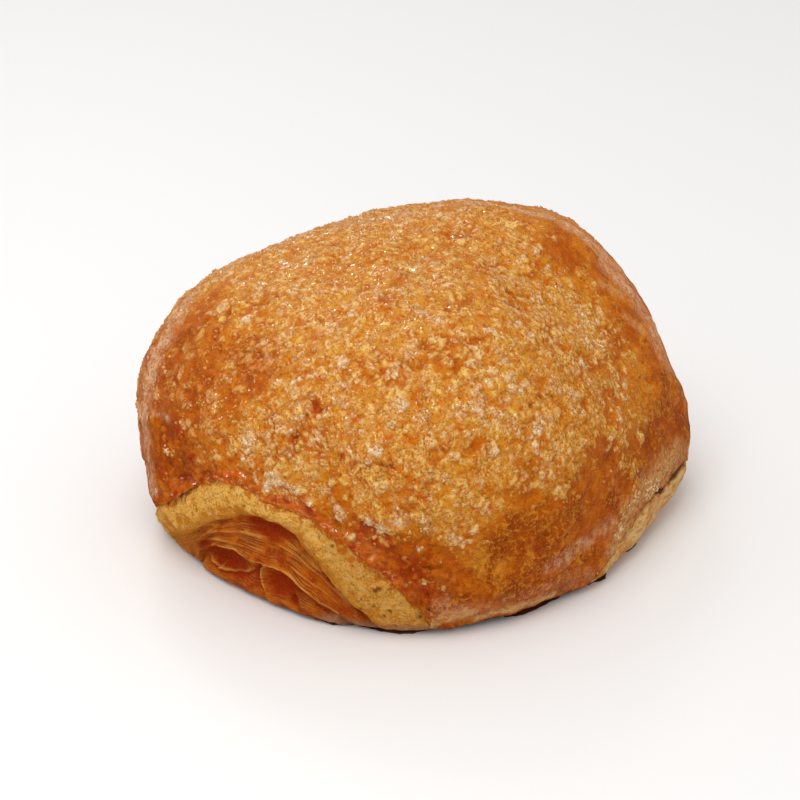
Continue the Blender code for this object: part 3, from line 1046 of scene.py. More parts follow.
def clots(points, cell, seed, share, size):
    """Scattered round patches: a share of the grain cells, each up to the given size."""
    bend = 0.25 * cell * noise(points, 0.45 * cell, seed + 7)[..., None]
    nearest, _, number = grains(points + bend, cell, seed)
    chosen = smooth_step(1.0 - share, 1.0 - 0.5 * share, number)
    return chosen * smooth_step(size, 0.45 * size, nearest)


def toasted(points, across, upward):
    """How toasted the band is at each point."""
    cover = np.zeros(across.shape)
    ragged = 0.35 * octaves(points, 1.8, 171, 2)
    for degrees, height, size in TOAST_SPOTS:
        away = np.hypot(across - degrees * REACH_PER_DEGREE, upward - height) / size
        cover = np.maximum(cover, smooth_step(1.2, 0.3, away + ragged))
    return cover


def hollowed(across, upward, hollows):
    """Depth of the hollows, and how much each point lies in one."""
    depth, inside = np.zeros((2, *across.shape))
    for degrees, height, half_width, half_height, deep in hollows:
        aside = (across / REACH_PER_DEGREE - degrees) / half_width
        cup = np.exp(-(aside ** 2 + ((upward - height) / half_height) ** 2) ** 1.4)
        depth = depth + deep * cup
        inside = np.maximum(inside, cup)
    return depth, inside


def crumb_relief(points, across, band, seed):
    """Depth of the rough crumb, and how much each point lies in one of its pits."""
    depth = (0.05 + 0.09 * band) * octaves(points, 1.1, seed + 5, 3, gain=0.75)
    depth = depth + 0.22 * octaves(points, 3.2, seed + 8, 2)
    depth = depth + 0.24 * band * octaves(points, 2.0, seed + 9, 3, gain=0.7)
    porous = smooth_step(4.0, 22.0, across)
    pit = clots(points, 1.3, seed + 30, 0.12, 0.30)
    pit = np.clip(pit + porous * clots(points, 1.9, seed + 35, 0.35, 0.36), 0.0, 1.0) * band
    return depth + PIT_DEPTH * pit, pit


def end_relief(points, across, upward, level, sheets, hollows, seed):
    """Depth of a cut end behind the crust, and its tones."""
    wavy = level + 0.014 * noise(points, 6.0, seed) + 0.006 * noise(points, 2.0, seed + 1)
    depth = np.interp(wavy, *np.array(END_PROFILE).T)
    lost, *feet = FLAT_FEET
    at_feet = smooth_step(*feet, np.abs(across) / REACH_PER_DEGREE)
    depth = depth * (1.0 - lost * at_feet * smooth_step(0.86, 0.80, wavy))
    layered = smooth_step(*BAND_EDGE, wavy)
    band = 1.0 - layered
    phase = wavy * LAMINATIONS + 0.6 * noise(points, 9.0, seed + 2)
    thin = np.abs(np.sin(np.pi * (phase + 0.15 * noise(points, 2.5, seed + 3)))) ** 3.0
    strength = smooth_step(-0.35, 0.45, noise(points, 5.0, seed + 4))
    depth = depth - layered * (0.06 + 0.16 * strength) * (thin - 0.4)
    added, edge, shadow = sheet_relief(across, upward, sheets, points, seed + 10)
    deepened, hollow = hollowed(across, upward, hollows)
    rough, pit = crumb_relief(points, across, band, seed)
    # painted shade under the sheets' edges joins the hollows' dark tone
    hollow = np.clip(hollow + 0.8 * layered * shadow, 0.0, 1.0)
    tones = {
        "band": band,
        "edge": np.clip(layered * (edge + 0.65 * strength * thin), 0.0, 1.0),
        "hollow": hollow * (1.0 - 0.8 * edge.clip(0.0, 1.0)),
        "pit": pit,
        "level": wavy * 10.0,
        "across": across / 10.0,
        "toast": toasted(points, across, upward) * band,
    }
    return depth + layered * added + deepened + rough, tones


def faded(amount, value, spans):
    """The amount, as far as the value has come through every span."""
    for span in spans:
        amount = amount * smooth_step(*span, value)
    return amount


def seam_strip(points, degrees, heights, lip, seed):
    """Depth of the strip under the seam: a crevice under the lip and a bulge below it, and how
    much each point lies in the crevice and the holes, which get painted shade.
    """
    at, spread, size = SEAM_BULGE
    bulge = faded(np.exp(-((degrees - at) / spread) ** 2), heights, BULGE_SPANS)
    gaping = 1.0 - GAPING_SHARE + GAPING_SHARE * faded(1.0, degrees, GAPING_SPANS)
    crevice = smooth_step(*CREVICE_SPAN, lip - heights) * gaping
    crevice = crevice * smooth_step(*CREVICE_LIPS, lip)
    holes = 0.0 * heights
    for hole, rise, width in SEAM_HOLES:
        away = np.hypot(degrees - hole, heights - rise) / width
        holes = np.maximum(holes, np.exp(-away ** 2))
    rough = 0.30 * octaves(points, 4.0, seed, 3, gain=0.6)
    depth = SEAM_DEPTH * 0.5 + rough - size * bulge + crevice + HOLE_DEPTH * holes
    return depth, np.maximum(crevice, holes)


def tucked(face, radius):
    """The sheet of points with rings added that tuck in under its foot."""
    rings = [face]
    for inward in END_TUCKS:
        shrink = (radius[-1:] - inward) / radius[-1:]
        rings.append(face[-1:] * (shrink[..., None] * (1.0, 1.0, 0.0) + (0.0, 0.0, 1.0)))
    return np.concatenate(rings)


def end_grid(low, high):
    """Angles and heights of an end's points, in rows and columns, and the lip over each column."""
    columns = int(math.radians(high - low) * HALF_LENGTH / END_SPACING)
    theta = np.radians(np.linspace(low, high, columns))
    lip = lip_height(theta)[None, :]
    top = lip.max() + END_RISE
    shape = (int(top / END_SPACING), columns)
    heights = np.linspace(top, 0.0, shape[0])[:, None]
    return np.broadcast_to(theta, shape), np.broadcast_to(heights, shape), lip


def end_depth(angles, heights, lip, end, sheets, hollows, seed):
    """Depth behind the crust of an end and of the seam's strip beside it, and the tones."""
    face = polar(radius_at(angles, heights), angles, heights)
    level = end_level(angles[0], heights, end)
    across = REACH_PER_DEGREE * np.degrees(wrapped(angles - np.radians(end[0])))
    depth, tones = end_relief(face, across, heights, level, sheets, hollows, seed)
    strip, crevice = seam_strip(face, np.degrees(wrapped(angles)), heights, lip, seed + 40)
    beside = smooth_step(*BESIDE_SPAN, level)
    behind = smooth_step(*BEHIND_SPAN, heights - lip)
    depth = depth * (1.0 - beside) + beside * strip
    depth = depth * (1.0 - behind) + behind * BEHIND_LIP
    foot = smooth_step(*FOOT_SPAN, heights)
    under = smooth_step(*STAIN_HEIGHTS, heights + 0.5 * noise(face, 2.5, seed + 45))
    under = under * smooth_step(*STAIN_ACROSS, across)
    # crevice carries the painted shade of the crevice and the holes
    tones.update(foot=foot, beside=beside, crevice=crevice * beside, under=under)
    return depth + FOOT_TUCK * foot ** 2, tones


def make_cut_end(name, place_and_seed, end, sheets, hollows, material):
    """One end from its lip down, with the seam's strip beside it: a sheet behind the crust."""
    span, seed = place_and_seed
    angles, heights, lip = end_grid(*span)
    rows, columns = angles.shape
    depth, tones = end_depth(angles, heights, lip, end, sheets, hollows, seed)
    radius = radius_at(angles, heights) - depth
    points = tucked(pushed(swelled(polar(radius, angles, heights))), radius)
    row = np.minimum(np.arange(len(points)), rows - 1)
    values = {tone: value[row].ravel() for tone, value in tones.items()}
    shown = (heights <= lip + END_RISE)[row].ravel()
    faces = grid_faces(len(points), columns)
    faces = faces[shown[faces].all(axis=1)]
    points, faces, values = used_only(points.reshape(-1, 3), faces, values)
    make_piece(name, points, faces, material, values)


# ---- Caramel that has run out under the bun ----
# Runs along the base: degrees from and to, reach past the base's rim, height
FOOT_RUNS = (
    (-119, -101, 2.1, 0.6), (-97, -84, 3.1, 0.8), (-78, -66, 2.5, 0.7), (196, 206, 2, 0.8),
    (208, 225, 2.3, 0.8), (58, 76, 3.2, 1.2), (101, 118, 3.4, 1.2),
)
FOOT_STEPS = 90
FOOT_ROUND = 9
FOOT_ROOT = 0.9               # how far inside the rim the caramel starts
FOOT_BACK = -0.4              # how far its hidden back runs in, against its reach
FOOT_TAPER = 0.4              # how bluntly it ends
FOOT_SIZE = (0.8, 0.35)       # its size against the table's, and how much that varies


def foot_run(first, last, reach, height):
    """Points and faces of one ragged bead of caramel along the base."""
    theta = np.radians(np.linspace(first, last, FOOT_STEPS))
    rim = radius_at(theta, np.zeros(FOOT_STEPS))
    taper = np.sin(np.linspace(0.0, np.pi, FOOT_STEPS)) ** FOOT_TAPER
    plain, varied = FOOT_SIZE
    ragged = taper * (plain + varied * octaves(polar(rim, theta, 0.0 * theta), 4.0, 181, 3))
    bend = np.linspace(0.0, np.pi, FOOT_ROUND)[:, None]
    out = rim - FOOT_ROOT + (reach + FOOT_ROOT) * ragged * np.cos(bend).clip(FOOT_BACK, 1.0)
    points = pushed(polar(out, theta, height * ragged * np.sin(bend)).reshape(-1, 3))
    return points, grid_faces(FOOT_ROUND, FOOT_STEPS)[:, ::-1]


def make_foot(material):
    points, faces = zip(*(foot_run(*run) for run in FOOT_RUNS))
    size = FOOT_ROUND * FOOT_STEPS
    faces = [run_faces + size * index for index, run_faces in enumerate(faces)]
    make_piece("caramel_foot", np.concatenate(points), np.concatenate(faces), material)


# ---- Underside ----
UNDERSIDE_SPACING = 0.8
UNDERSIDE_INSET = 3.6         # its rim lies inside the rolled edges of the crust and the cut ends
WRINKLE_HEIGHT = 0.35
WRINKLE_LEVEL = 0.2           # how far the wrinkles are raised off the base, against their size


def make_underside(material):
    """The flat base, with a slightly hollow and wrinkled middle."""
    theta = np.linspace(0.0, 2.0 * np.pi, RING_SAMPLES, endpoint=False)
    rim = radius_at(theta, np.zeros(len(theta))) - UNDERSIDE_INSET
    rings = [np.zeros((1, 3))]
    ring_count = int(HALF_LENGTH / UNDERSIDE_SPACING)
    for ring in range(1, ring_count + 1):
        count = int(2.0 * np.pi * HALF_WIDTH * ring / ring_count / UNDERSIDE_SPACING)
        angles = np.linspace(0.0, 2.0 * np.pi, max(LEAST_RING, count), endpoint=False)
        radius = np.interp(angles, theta, rim, period=2.0 * np.pi) * ring / ring_count
        rings.append(polar(radius, angles, 0.0 * angles))
    points, faces, _ = netted(rings)
    wrinkles = octaves(points, 14.0, 91, 4)
    points[:, 2] = np.clip(WRINKLE_HEIGHT * (wrinkles + WRINKLE_LEVEL), 0.0, 1.0)
    make_piece("underside", points, faces[:, ::-1], material, {"wrinkle": wrinkles})


# ---- Materials ----
def srgb(red, green, blue):
    """A colour given as 0 to 255 in sRGB, as linear values."""
    linear = [((value / 255.0 + 0.055) / 1.055) ** 2.4 if value > 10 else value / 3294.6
              for value in (red, green, blue)]
    return (*linear, 1.0)


class Nodes:
    """Short ways to build a material's nodes."""

    def __init__(self, name):
        self.material = bpy.data.materials.new(name)
        self.material.use_nodes = True
        self.tree = self.material.node_tree
        self.place = self.add("TexCoord", {})["Object"]

    def link(self, value, socket):
        """Lead another node's output to a socket, or set a number or a colour on it."""
        if hasattr(value, "links"):
            self.tree.links.new(value, socket)
        else:
            socket.default_value = value

    def add(self, kind, inputs, **settings):
        """The outputs of a new node, with its settings and its inputs by name or by number."""
        node = self.tree.nodes.new("ShaderNode" + kind)
        for name, value in settings.items():
            setattr(node, name, value)
        for socket, value in inputs.items():
            self.link(value, node.inputs[socket])
        return node.outputs

    def finish(self, inputs):
        """Set the shader's inputs and hand over the material."""
        shader = self.tree.nodes["Principled BSDF"]
        for socket, value in inputs.items():
            self.link(value, shader.inputs[socket])
        return self.material

    def tone(self, name):
        return self.add("Attribute", {}, attribute_name=name)["Fac"]

    def scaled(self, size, stretch=(1, 1, 1)):
        """Places measured in features of the given size in millimetres."""
        scale = [1.0 / (size * MM * part) for part in stretch]
        return self.add("Mapping", {"Vector": self.place, "Scale": scale})[0]

    def noise(self, size, detail=3, rough=0.55, stretch=(1, 1, 1)):
        """Noise from about 0 to 1 with features of the given size in millimetres."""
        inputs = {"Vector": self.scaled(size, stretch), "Scale": 1}
        return self.add("TexNoise", {**inputs, "Detail": detail, "Roughness": rough})["Fac"]

    def cells(self, size, warp=0.5):
        """Irregular grains: the distance from each one's middle, and a random colour for each."""
        place = self.scaled(size)
        wander = self.add("TexNoise", {"Vector": place, "Scale": 1.7})["Color"]
        moved = self.vector("MULTIPLY_ADD", {0: wander, 1: [warp] * 3, 2: place})
        outputs = self.add("TexVoronoi", {"Vector": moved, "Scale": 1})
        return outputs["Distance"], outputs["Color"]

    def fibres(self, width, length):
        """Noise drawn out along the nested arches of a cut end, its size given in millimetres."""
        inwards = self.math("DIVIDE", self.tone("level"), width * 0.4)
        along = self.math("DIVIDE", self.tone("across"), length * 0.1)
        place = self.add("CombineXYZ", {0: inwards, 1: along})[0]
        inputs = {"Vector": place, "Scale": 1, "Detail": 3, "Roughness": 0.6}
        return self.add("TexNoise", inputs)["Fac"]

    def height(self):
        """Height over the base in millimetres."""
        return self.math("DIVIDE", self.add("SeparateXYZ", {0: self.place})["Z"], MM)

    def ramp(self, value, low, high, start=0, end=1):
        """Ease from start to end as the value goes from low to high."""
        limits = {"From Min": low, "From Max": high, "To Min": start, "To Max": end}
        inputs = {"Value": value, **limits}
        return self.add("MapRange", inputs, interpolation_type="SMOOTHSTEP")["Result"]

    def math(self, operation, first, second):
        return self.add("Math", {0: first, 1: second}, operation=operation)[0]

    def vector(self, operation, inputs):
        return self.add("VectorMath", inputs, operation=operation)[0]

    def times(self, first, *others):
        for other in others:
            first = self.math("MULTIPLY", first, other)
        return first

    def mix(self, share, first, second):
        return self.add("Mix", {"Factor": share, 6: first, 7: second}, data_type="RGBA")[2]

    def coats(self, colour, *coats):
        """Coats of colour over a base, each laid on as far as its share says."""
        for share, coat in coats:
            colour = self.mix(share, colour, coat)
        return colour

    def bumps(self, *reliefs):
        """Fine reliefs, one on another, each with its full height in millimetres."""
        inputs = {}
        for height, size in reliefs:
            inputs.update({"Strength": 1, "Distance": size * MM, "Height": height})
            inputs["Normal"] = self.add("Bump", inputs)["Normal"]
        return inputs["Normal"]

    def facets(self, colour, tilt, onto):
        """Tilt the surface of every grain by its own random amount."""
        centred = self.vector("SUBTRACT", {0: colour, 1: (0.5, 0.5, 0.5)})
        tilted = self.vector("SCALE", {0: centred, "Scale": tilt})
        return self.vector("NORMALIZE", {0: self.vector("ADD", {0: onto, 1: tilted})})


TAN = srgb(236, 189, 104)
TAN_DARK = srgb(216, 156, 58)
ORANGE = srgb(200, 102, 4)
BROWN = srgb(170, 74, 1)
DEEP = srgb(142, 54, 0)
HOT = srgb(214, 94, 4)
RED = srgb(154, 40, 0)
FROST = srgb(238, 212, 184)
# pale: dust along the routes, and painted highlight streaks on the strip's caramel
DUST_AND_HIGHLIGHT_PALE = srgb(212, 164, 104)
STRAW = srgb(236, 190, 126)
# pinkish: painted sheen on the crust, and a stain at the cut ends' right feet
SHEEN_AND_STAIN_PINK = srgb(220, 170, 130)
GOLD = srgb(214, 140, 36)
AMBER_SIDE = srgb(210, 116, 8)
CRUMB = srgb(255, 192, 88)
CRUMB_PALE = srgb(252, 202, 118)
CRUMB_DARK = srgb(212, 124, 34)
CRUMB_DULL = srgb(186, 122, 46)
# painted shade of the crumb's pores and pits
PORE_SHADE = srgb(126, 66, 12)
TOAST = srgb(208, 124, 22)
SHEET = srgb(236, 168, 80)
SHEET_DARK = srgb(208, 132, 48)
LAYER = srgb(212, 110, 14)
LAYER_DARK = srgb(170, 62, 0)
# deep red of the hollows: partly the caramel's own colour, partly painted shade
HOLLOW = srgb(174, 38, 0)
# dark brown: burnt caramel, painted shade in the seam's crevice and holes, and the darkening
# towards the very base
BURNT_AND_SHADE = srgb(84, 36, 14)
CHARRED = srgb(56, 30, 20)
AMBER = srgb(206, 134, 52)
TOFFEE = srgb(204, 122, 30)
WHITE_SUGAR = srgb(242, 214, 172)


def bare_crust(n, golden, fine_shade):
    """The sides, where dough shows through thin caramel: brown with golden and dark patches."""
    side = n.mix(n.ramp(n.noise(8, 4, 0.6, (1, 1, 0.7)), 0.38, 0.60), DEEP, BROWN)
    return n.coats(
        side,
        (n.ramp(n.noise(6, 4, 0.62), 0.50, 0.74, 0, 0.75), ORANGE),
        (n.ramp(n.height(), 17, 34, 0, 0.85), AMBER_SIDE),
        (n.ramp(golden, 0.1, 1, 0, 0.60), GOLD),
        (n.ramp(golden, -0.1, -1, 0, 0.70), DEEP),
        (n.ramp(n.noise(3.4, 5, 0.7, (1, 1, 1.5)), 0.54, 0.66, 0, 0.55), GOLD),
        (n.ramp(n.noise(2.2, 5, 0.75), 0.51, 0.37, 0, 0.90), DEEP),
        (n.ramp(n.noise(0.9, 4, 0.75), 0.51, 0.62, 0, 0.75), GOLD),
        (n.ramp(fine_shade, 0.72, 0.95, 0, 0.40), GOLD),
    )


def crust_caramel(n, golden, shade):
    """Bare caramel of the patches and the shoulder."""
    caramel = n.mix(n.ramp(n.noise(2.4), 0.40, 0.64), BROWN, ORANGE)
    return n.coats(
        caramel,
        (n.ramp(golden, -0.1, -1, 0, 0.85), DEEP),
        (n.times(n.tone("lump"), n.ramp(shade, 0.2, 0.8, 0, 0.8)), AMBER_SIDE),
    )


def strip_caramel(n):
    """Red and orange caramel of the strip over the near end's lip, with pale streaks of painted
    highlight.
    """
    hot = n.mix(n.ramp(n.noise(1.4, 4, 0.65), 0.40, 0.60), BROWN, HOT)
    return n.coats(
        hot,
        (n.ramp(n.noise(2.8, 4, 0.65), 0.50, 0.38, 0, 0.80), RED),
        # pale streaks of painted highlight on the wet caramel
        (n.ramp(n.noise(0.8, 4, 0.7, (1, 1.6, 1)), 0.53, 0.64, 0, 0.90), DUST_AND_HIGHLIGHT_PALE),
    )


def crust_colour(n, sugar, shade, fine_shade):
    """The bare crust and its caramel, and over them clumped sugar, painted sheen, dust and frost.
    """
    golden, toffee = n.tone("golden"), n.tone("toffee")
    brown = n.mix(n.ramp(n.noise(2, 4, 0.62), 0.43, 0.64, 0, 0.8), DEEP, HOT)
    amber = n.mix(n.ramp(n.noise(2.6, 4, 0.62), 0.36, 0.58), ORANGE, GOLD)
    amber = n.mix(n.times(toffee, 0.9), amber, brown)
    side = n.mix(n.times(toffee, 0.8), bare_crust(n, golden, fine_shade), brown)
    lump = n.mix(n.ramp(shade, 0.22, 0.72), TAN_DARK, TAN)
    lump = n.mix(n.times(toffee, 0.85), lump, n.mix(n.ramp(shade, 0.30, 0.90), ORANGE, TOFFEE))
    # how the painted sheen breaks up into streaks and patches
    sheen_breakup = n.times(
        n.ramp(n.noise(1.8, 5, 0.7, (0.8, 0.8, 2.2)), 0.42, 0.57, 0.25, 1),
        n.ramp(n.noise(0.6, 3, 0.7), 0.35, 0.58, 0.55, 1),
        n.ramp(n.noise(6, 5, 0.7), 0.38, 0.54, 0.55, 1),
    )
    frost = n.times(
        n.tone("frost"),
        n.ramp(shade, 0.15, 0.75, 0.35, 1),
        n.ramp(toffee, 0, 1, 1, 0.65),
        n.ramp(n.noise(0.5, 3, 0.6), 0.34, 0.60, 0.45, 1),
    )
    grit = n.times(n.ramp(fine_shade, 0.40, 0.12), n.ramp(sugar, 0, 1, 0.30, 0.60))
    return n.coats(
        n.mix(sugar, side, amber),
        (n.times(n.tone("glaze"), 0.9), crust_caramel(n, golden, shade)),
        (n.times(n.tone("strip"), n.ramp(n.noise(2.6), 0.34, 0.56, 0.3, 0.95)), strip_caramel(n)),
        (n.times(n.tone("red"), n.ramp(shade, 0.3, 0.9, 0.80, 0.20)), RED),
        (n.times(n.tone("clump"), n.ramp(shade, 0.15, 0.60, 0.65, 1)), lump),
        # painted sheen: a pale pinkish haze
        (n.times(n.tone("painted_sheen"), sheen_breakup), SHEEN_AND_STAIN_PINK),
        (n.times(n.tone("pale"), n.ramp(n.noise(0.9, 4, 0.75), 0.36, 0.58, 0.20, 1)), DUST_AND_HIGHLIGHT_PALE),
        (frost, FROST),
        (grit, n.mix(sugar, DEEP, BROWN)),
        # darker towards the very base
        (n.times(n.tone("foot"), 0.8), BURNT_AND_SHADE),
    )


def crust_material():
    n = Nodes("sugared_crust")
    sugar, wet = n.tone("sugar"), n.tone("wet")
    dome, shade = n.cells(0.85, 0.9)
    fine_dome, fine_shade = n.cells(0.40)
    sparkle = n.times(n.ramp(fine_shade, 0.66, 0.86, 0, 0.9), n.ramp(sugar, 0, 1, 0.3, 1))
    rugged = n.times(n.ramp(sugar, 0, 1, 0.95, 1), n.ramp(wet, 0.3, 1, 1, 0.65))
    bumped = n.bumps(
        (n.times(dome, rugged), -0.30),
        (n.times(n.noise(0.9), rugged), 0.30),
        (n.times(fine_dome, rugged), -0.12),
    )
    return n.finish({
        "Base Color": crust_colour(n, sugar, shade, fine_shade),
        "Roughness": n.ramp(wet, 0, 1, 0.50, 0.30),
        "Specular IOR Level": 0.06,
        "Sheen Weight": 0.15,
        "Sheen Roughness": 0.15,
        "Sheen Tint": (1.0, 0.82, 0.70, 1.0),
        "Coat Weight": n.math("MAXIMUM", n.ramp(wet, 0.2, 1), sparkle),
        "Coat Roughness": 0.16,
        "Normal": n.facets(fine_shade, n.times(rugged, 0.22), bumped),
    })


def crumb_colour(n, fibre):
    """The band of open crumb: porous, golden beside the layers and stained under the lip, with
    painted shade in its pores and pits.
    """
    level, across = n.tone("level"), n.tone("across")
    patches = n.noise(2.2, 3, 0.6)
    inner = n.math("ADD", level, n.ramp(patches, 0.3, 0.7, -0.35, 0.35))
    outer = n.math("ADD", level, n.ramp(n.noise(1.6), 0.35, 0.65, -0.45, 0.45))
    return n.coats(
        n.mix(n.ramp(n.noise(0.55, 4, 0.75), 0.32, 0.48), CRUMB_DARK, CRUMB),
        (n.ramp(patches, 0.50, 0.64, 0, 0.75), CRUMB_PALE),
        (n.ramp(patches, 0.46, 0.34, 0, 0.65), CRUMB_DARK),
        (n.ramp(n.noise(1, 4, 0.7), 0.46, 0.35, 0, 0.75), CRUMB_DULL),
        (n.ramp(fibre, 0.53, 0.68, 0, 0.50), CRUMB_DARK),
        (n.ramp(across, 0.4, 2.4, 0, 0.45), CRUMB_DULL),
        (n.ramp(across, -1.6, -2.8, 0, 0.30), CRUMB_DULL),
        (n.ramp(inner, 8.9, 8.1, 0, 0.75), TOAST),
        (n.ramp(outer, 9.65, 10.15, 0, 0.85), ORANGE),
        (n.times(n.tone("toast"), 0.8), TOAST),
        # painted shade in small pores and in the pits
        (n.ramp(n.noise(0.45, 3, 0.6), 0.43, 0.33, 0, 0.60), PORE_SHADE),
        (n.times(n.tone("pit"), 0.75), PORE_SHADE),
    )


def layer_colour(n, fibre, hollow):
    """The rolled layers, paler towards the left where they run together, with dark caramel and
    painted shade in the hollows.
    """
    across = n.tone("across")
    grain = n.noise(0.5, 3, 0.7)
    return n.coats(
        n.mix(n.ramp(n.noise(2.6, 4), 0.38, 0.62), LAYER_DARK, LAYER),
        (n.ramp(across, -0.6, -2.4, 0, 0.6), SHEET_DARK),
        (n.ramp(across, 0.8, 2.2, 0, 0.45), LAYER_DARK),
        (n.ramp(n.tone("edge"), 0.10, 0.80, 0, 0.85), SHEET),
        (n.ramp(fibre, 0.49, 0.35, 0, 0.70), LAYER_DARK),
        (n.ramp(fibre, 0.53, 0.70, 0, 0.50), SHEET),
        (n.ramp(grain, 0.50, 0.68, 0, 0.35), SHEET_DARK),
        # the hollows: partly dark caramel, partly painted shade, also under the sheets' edges
        (n.ramp(hollow, 0.10, 0.75, 0, 0.95), n.mix(n.ramp(grain, 0.4, 0.6), HOLLOW, LAYER_DARK)),
    )


def seam_colour(n):
    """The strip of paler dough under the seam, with painted shade in its crevice and holes."""
    return n.coats(
        n.mix(n.ramp(n.noise(3.4, 4, 0.6), 0.50, 0.70), STRAW, GOLD),
        (n.ramp(n.noise(0.8, 4, 0.7, (2.4, 2.4, 0.6)), 0.36, 0.54, 0.8, 0), CRUMB_DULL),
        (n.ramp(n.noise(6), 0.48, 0.66, 0, 0.5), ORANGE),
        # painted shade in the crevice under the lip and in the holes
        (n.ramp(n.tone("crevice"), 0.3, 0.9, 0, 0.9), BURNT_AND_SHADE),
    )


def end_material():
    n = Nodes("layered_dough")
    hollow = n.tone("hollow")
    fibre = n.fibres(0.26, 4.0)
    colour = n.coats(
        layer_colour(n, fibre, hollow),
        (n.tone("band"), crumb_colour(n, fibre)),
        (n.tone("beside"), seam_colour(n)),
        # a stain at the right foot, in dark brown and the pink of the painted sheen
        (n.times(n.tone("under"), 0.9), n.mix(n.noise(1.5), DEEP, SHEEN_AND_STAIN_PINK)),
        # darker towards the very foot
        (n.times(n.tone("foot"), n.ramp(n.noise(5), 0.38, 0.56), 0.9), BURNT_AND_SHADE),
    )
    return n.finish({
        "Base Color": colour,
        "Roughness": n.ramp(hollow, 0.2, 0.9, 0.70, 0.42),
        "Specular IOR Level": 0.06,
        "Normal": n.bumps((n.noise(0.55, 4, 0.75), 0.60), (fibre, 0.28)),
    })


def sugar_material():
    n = Nodes("sugar")
    colour = n.mix(n.ramp(n.tone("pale"), 0.35, 1), AMBER, WHITE_SUGAR)
    return n.finish({"Base Color": colour, "Roughness": 0.14, "Specular IOR Level": 0.45})


def caramel_material():
    n = Nodes("burnt_caramel")
    colour = n.mix(n.ramp(n.noise(2), 0.38, 0.62), CHARRED, BURNT_AND_SHADE)
    return n.finish({"Base Color": colour, "Roughness": 0.45, "Specular IOR Level": 0.12})


def underside_material():
    n = Nodes("baked_base")
    colour = n.mix(n.ramp(n.noise(8, 4), 0.35, 0.65), DEEP, BROWN)
    colour = n.mix(n.ramp(n.tone("wrinkle"), 0.1, 0.6), colour, TAN_DARK)
    wrinkled = n.bumps((n.noise(1.2, 4), 0.3))
    return n.finish({"Base Color": colour, "Roughness": 0.35, "Normal": wrinkled})


# ---- Stage: floor, light and camera ----
CAMERA_AZIMUTH = -47.7
CAMERA_ELEVATION = 27.0
CAMERA_DISTANCE = 0.5333
CAMERA_LENS = 120.0
CAMERA_SENSOR = 36.0
CAMERA_REACH = 20.0
TARGET_HEIGHT = 22.0
TARGET_PIXEL = (421.4, 403.9)   # where the photograph shows the point over the origin
IMAGE_SIZE = 800.0
WORLD_COLOUR = (1.0, 0.99, 0.98, 1.0)
WORLD_STRENGTH = 0.80
FLOOR_COLOUR = (0.86, 0.86, 0.86, 1.0)
FLOOR_REACH = 4.0
LAMP_DISTANCE = 0.9
LAMPS_AIM = Vector((0.0, 0.0, 0.03))
WHITE = (1.0, 1.0, 1.0)
# Lamps: how far each is to the camera's right, up and towards it; size, power, colour, and the
# kind of light that it doesn't give
LAMPS = (
    ("key", (-0.20, 1.0, 0.40), 0.60, 3.8, (1.0, 0.98, 0.95), "visible_glossy"),
    ("glint_left", (-1.0, 0.6, 0.3), 0.18, 3.5, WHITE, "visible_diffuse"),
    ("glint_back", (-0.3, 0.9, -1.0), 0.18, 3.5, WHITE, "visible_diffuse"),
    ("glint_front", (0.1, 1.0, 0.8), 0.18, 3.5, WHITE, "visible_diffuse"),
    ("rim", (-0.75, 0.45, -0.75), 0.40, 0.35, WHITE, None),
)


def view_axes():
    """Unit vectors from the target to the camera and to the camera's right."""
    azimuth, elevation = math.radians(CAMERA_AZIMUTH), math.radians(CAMERA_ELEVATION)
    back = Vector((math.sin(azimuth) * math.cos(elevation),
                   -math.cos(azimuth) * math.cos(elevation), math.sin(elevation)))
    return back, Vector((math.cos(azimuth), math.sin(azimuth), 0.0))


def set_up(name, data, location, facing):
    """Stand a camera or a lamp at a place with its back to a direction."""
    thing = bpy.data.objects.new(name, data)
    thing.location = location
    thing.rotation_euler = facing.to_track_quat("Z", "Y").to_euler()
    bpy.context.scene.collection.objects.link(thing)
    return thing


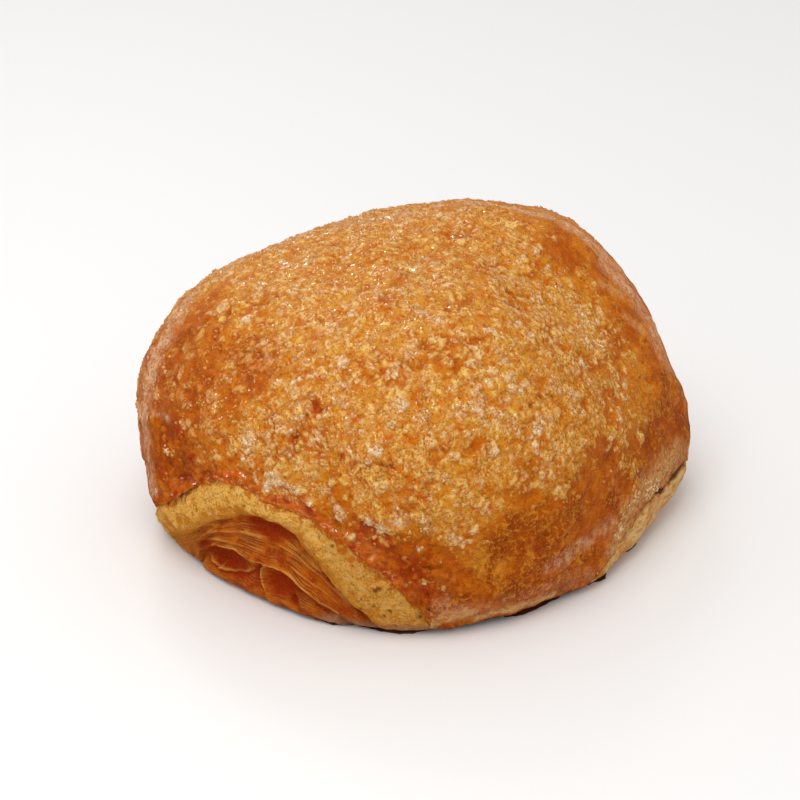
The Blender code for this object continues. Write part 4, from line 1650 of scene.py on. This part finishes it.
def make_camera():
    back, _ = view_axes()
    target = Vector((-MIDDLE[0] * MM, -MIDDLE[1] * MM, TARGET_HEIGHT * MM))
    data = bpy.data.cameras.new("camera")
    data.lens = CAMERA_LENS
    data.sensor_width = CAMERA_SENSOR
    data.clip_end = CAMERA_REACH
    data.shift_x = -(TARGET_PIXEL[0] - IMAGE_SIZE / 2.0) / IMAGE_SIZE
    data.shift_y = (TARGET_PIXEL[1] - IMAGE_SIZE / 2.0) / IMAGE_SIZE
    bpy.context.scene.camera = set_up("camera", data, target + back * CAMERA_DISTANCE, back)


def make_lamps():
    back, right = view_axes()
    forward = Vector((back.x, back.y, 0.0)).normalized()
    for name, (side, rise, towards_camera), size, power, colour, unseen in LAMPS:
        direction = right * side + forward * towards_camera + Vector((0.0, 0.0, rise))
        direction.normalize()
        data = bpy.data.lights.new(name, "AREA")
        data.shape = "SQUARE"
        data.size = size
        data.energy = power
        data.color = colour
        lamp = set_up(name, data, LAMPS_AIM + direction * LAMP_DISTANCE, direction)
        if unseen:
            setattr(lamp, unseen, False)


def make_world():
    world = bpy.data.worlds.new("studio")
    world.use_nodes = True
    inputs = world.node_tree.nodes["Background"].inputs
    inputs["Color"].default_value = WORLD_COLOUR
    inputs["Strength"].default_value = WORLD_STRENGTH
    world.cycles_visibility.glossy = False
    bpy.context.scene.world = world
    bpy.context.scene.view_settings.view_transform = "Standard"


def make_floor():
    mesh = bpy.data.meshes.new("floor")
    signs = ((-1, -1), (1, -1), (1, 1), (-1, 1))
    mesh.from_pydata([(FLOOR_REACH * x, FLOOR_REACH * y, 0.0) for x, y in signs], [], [range(4)])
    material = Nodes("pale_floor").finish({"Base Color": FLOOR_COLOUR, "Roughness": 0.6})
    mesh.materials.append(material)
    floor = bpy.data.objects.new("floor", mesh)
    floor.visible_glossy = False
    bpy.context.scene.collection.objects.link(floor)


def main():
    make_camera()
    make_world()
    make_lamps()
    make_floor()
    dough = end_material()
    points, faces, tones = make_crust(crust_material())
    make_sugar(points, faces, tones, sugar_material())
    make_cut_end("cut_end_near", NEAR_END, CUT_ENDS[0], NEAR_SHEETS, NEAR_HOLLOWS, dough)
    make_cut_end("cut_end_far", FAR_END, CUT_ENDS[1], *far_end(), dough)
    make_foot(caramel_material())
    make_underside(underside_material())


main()
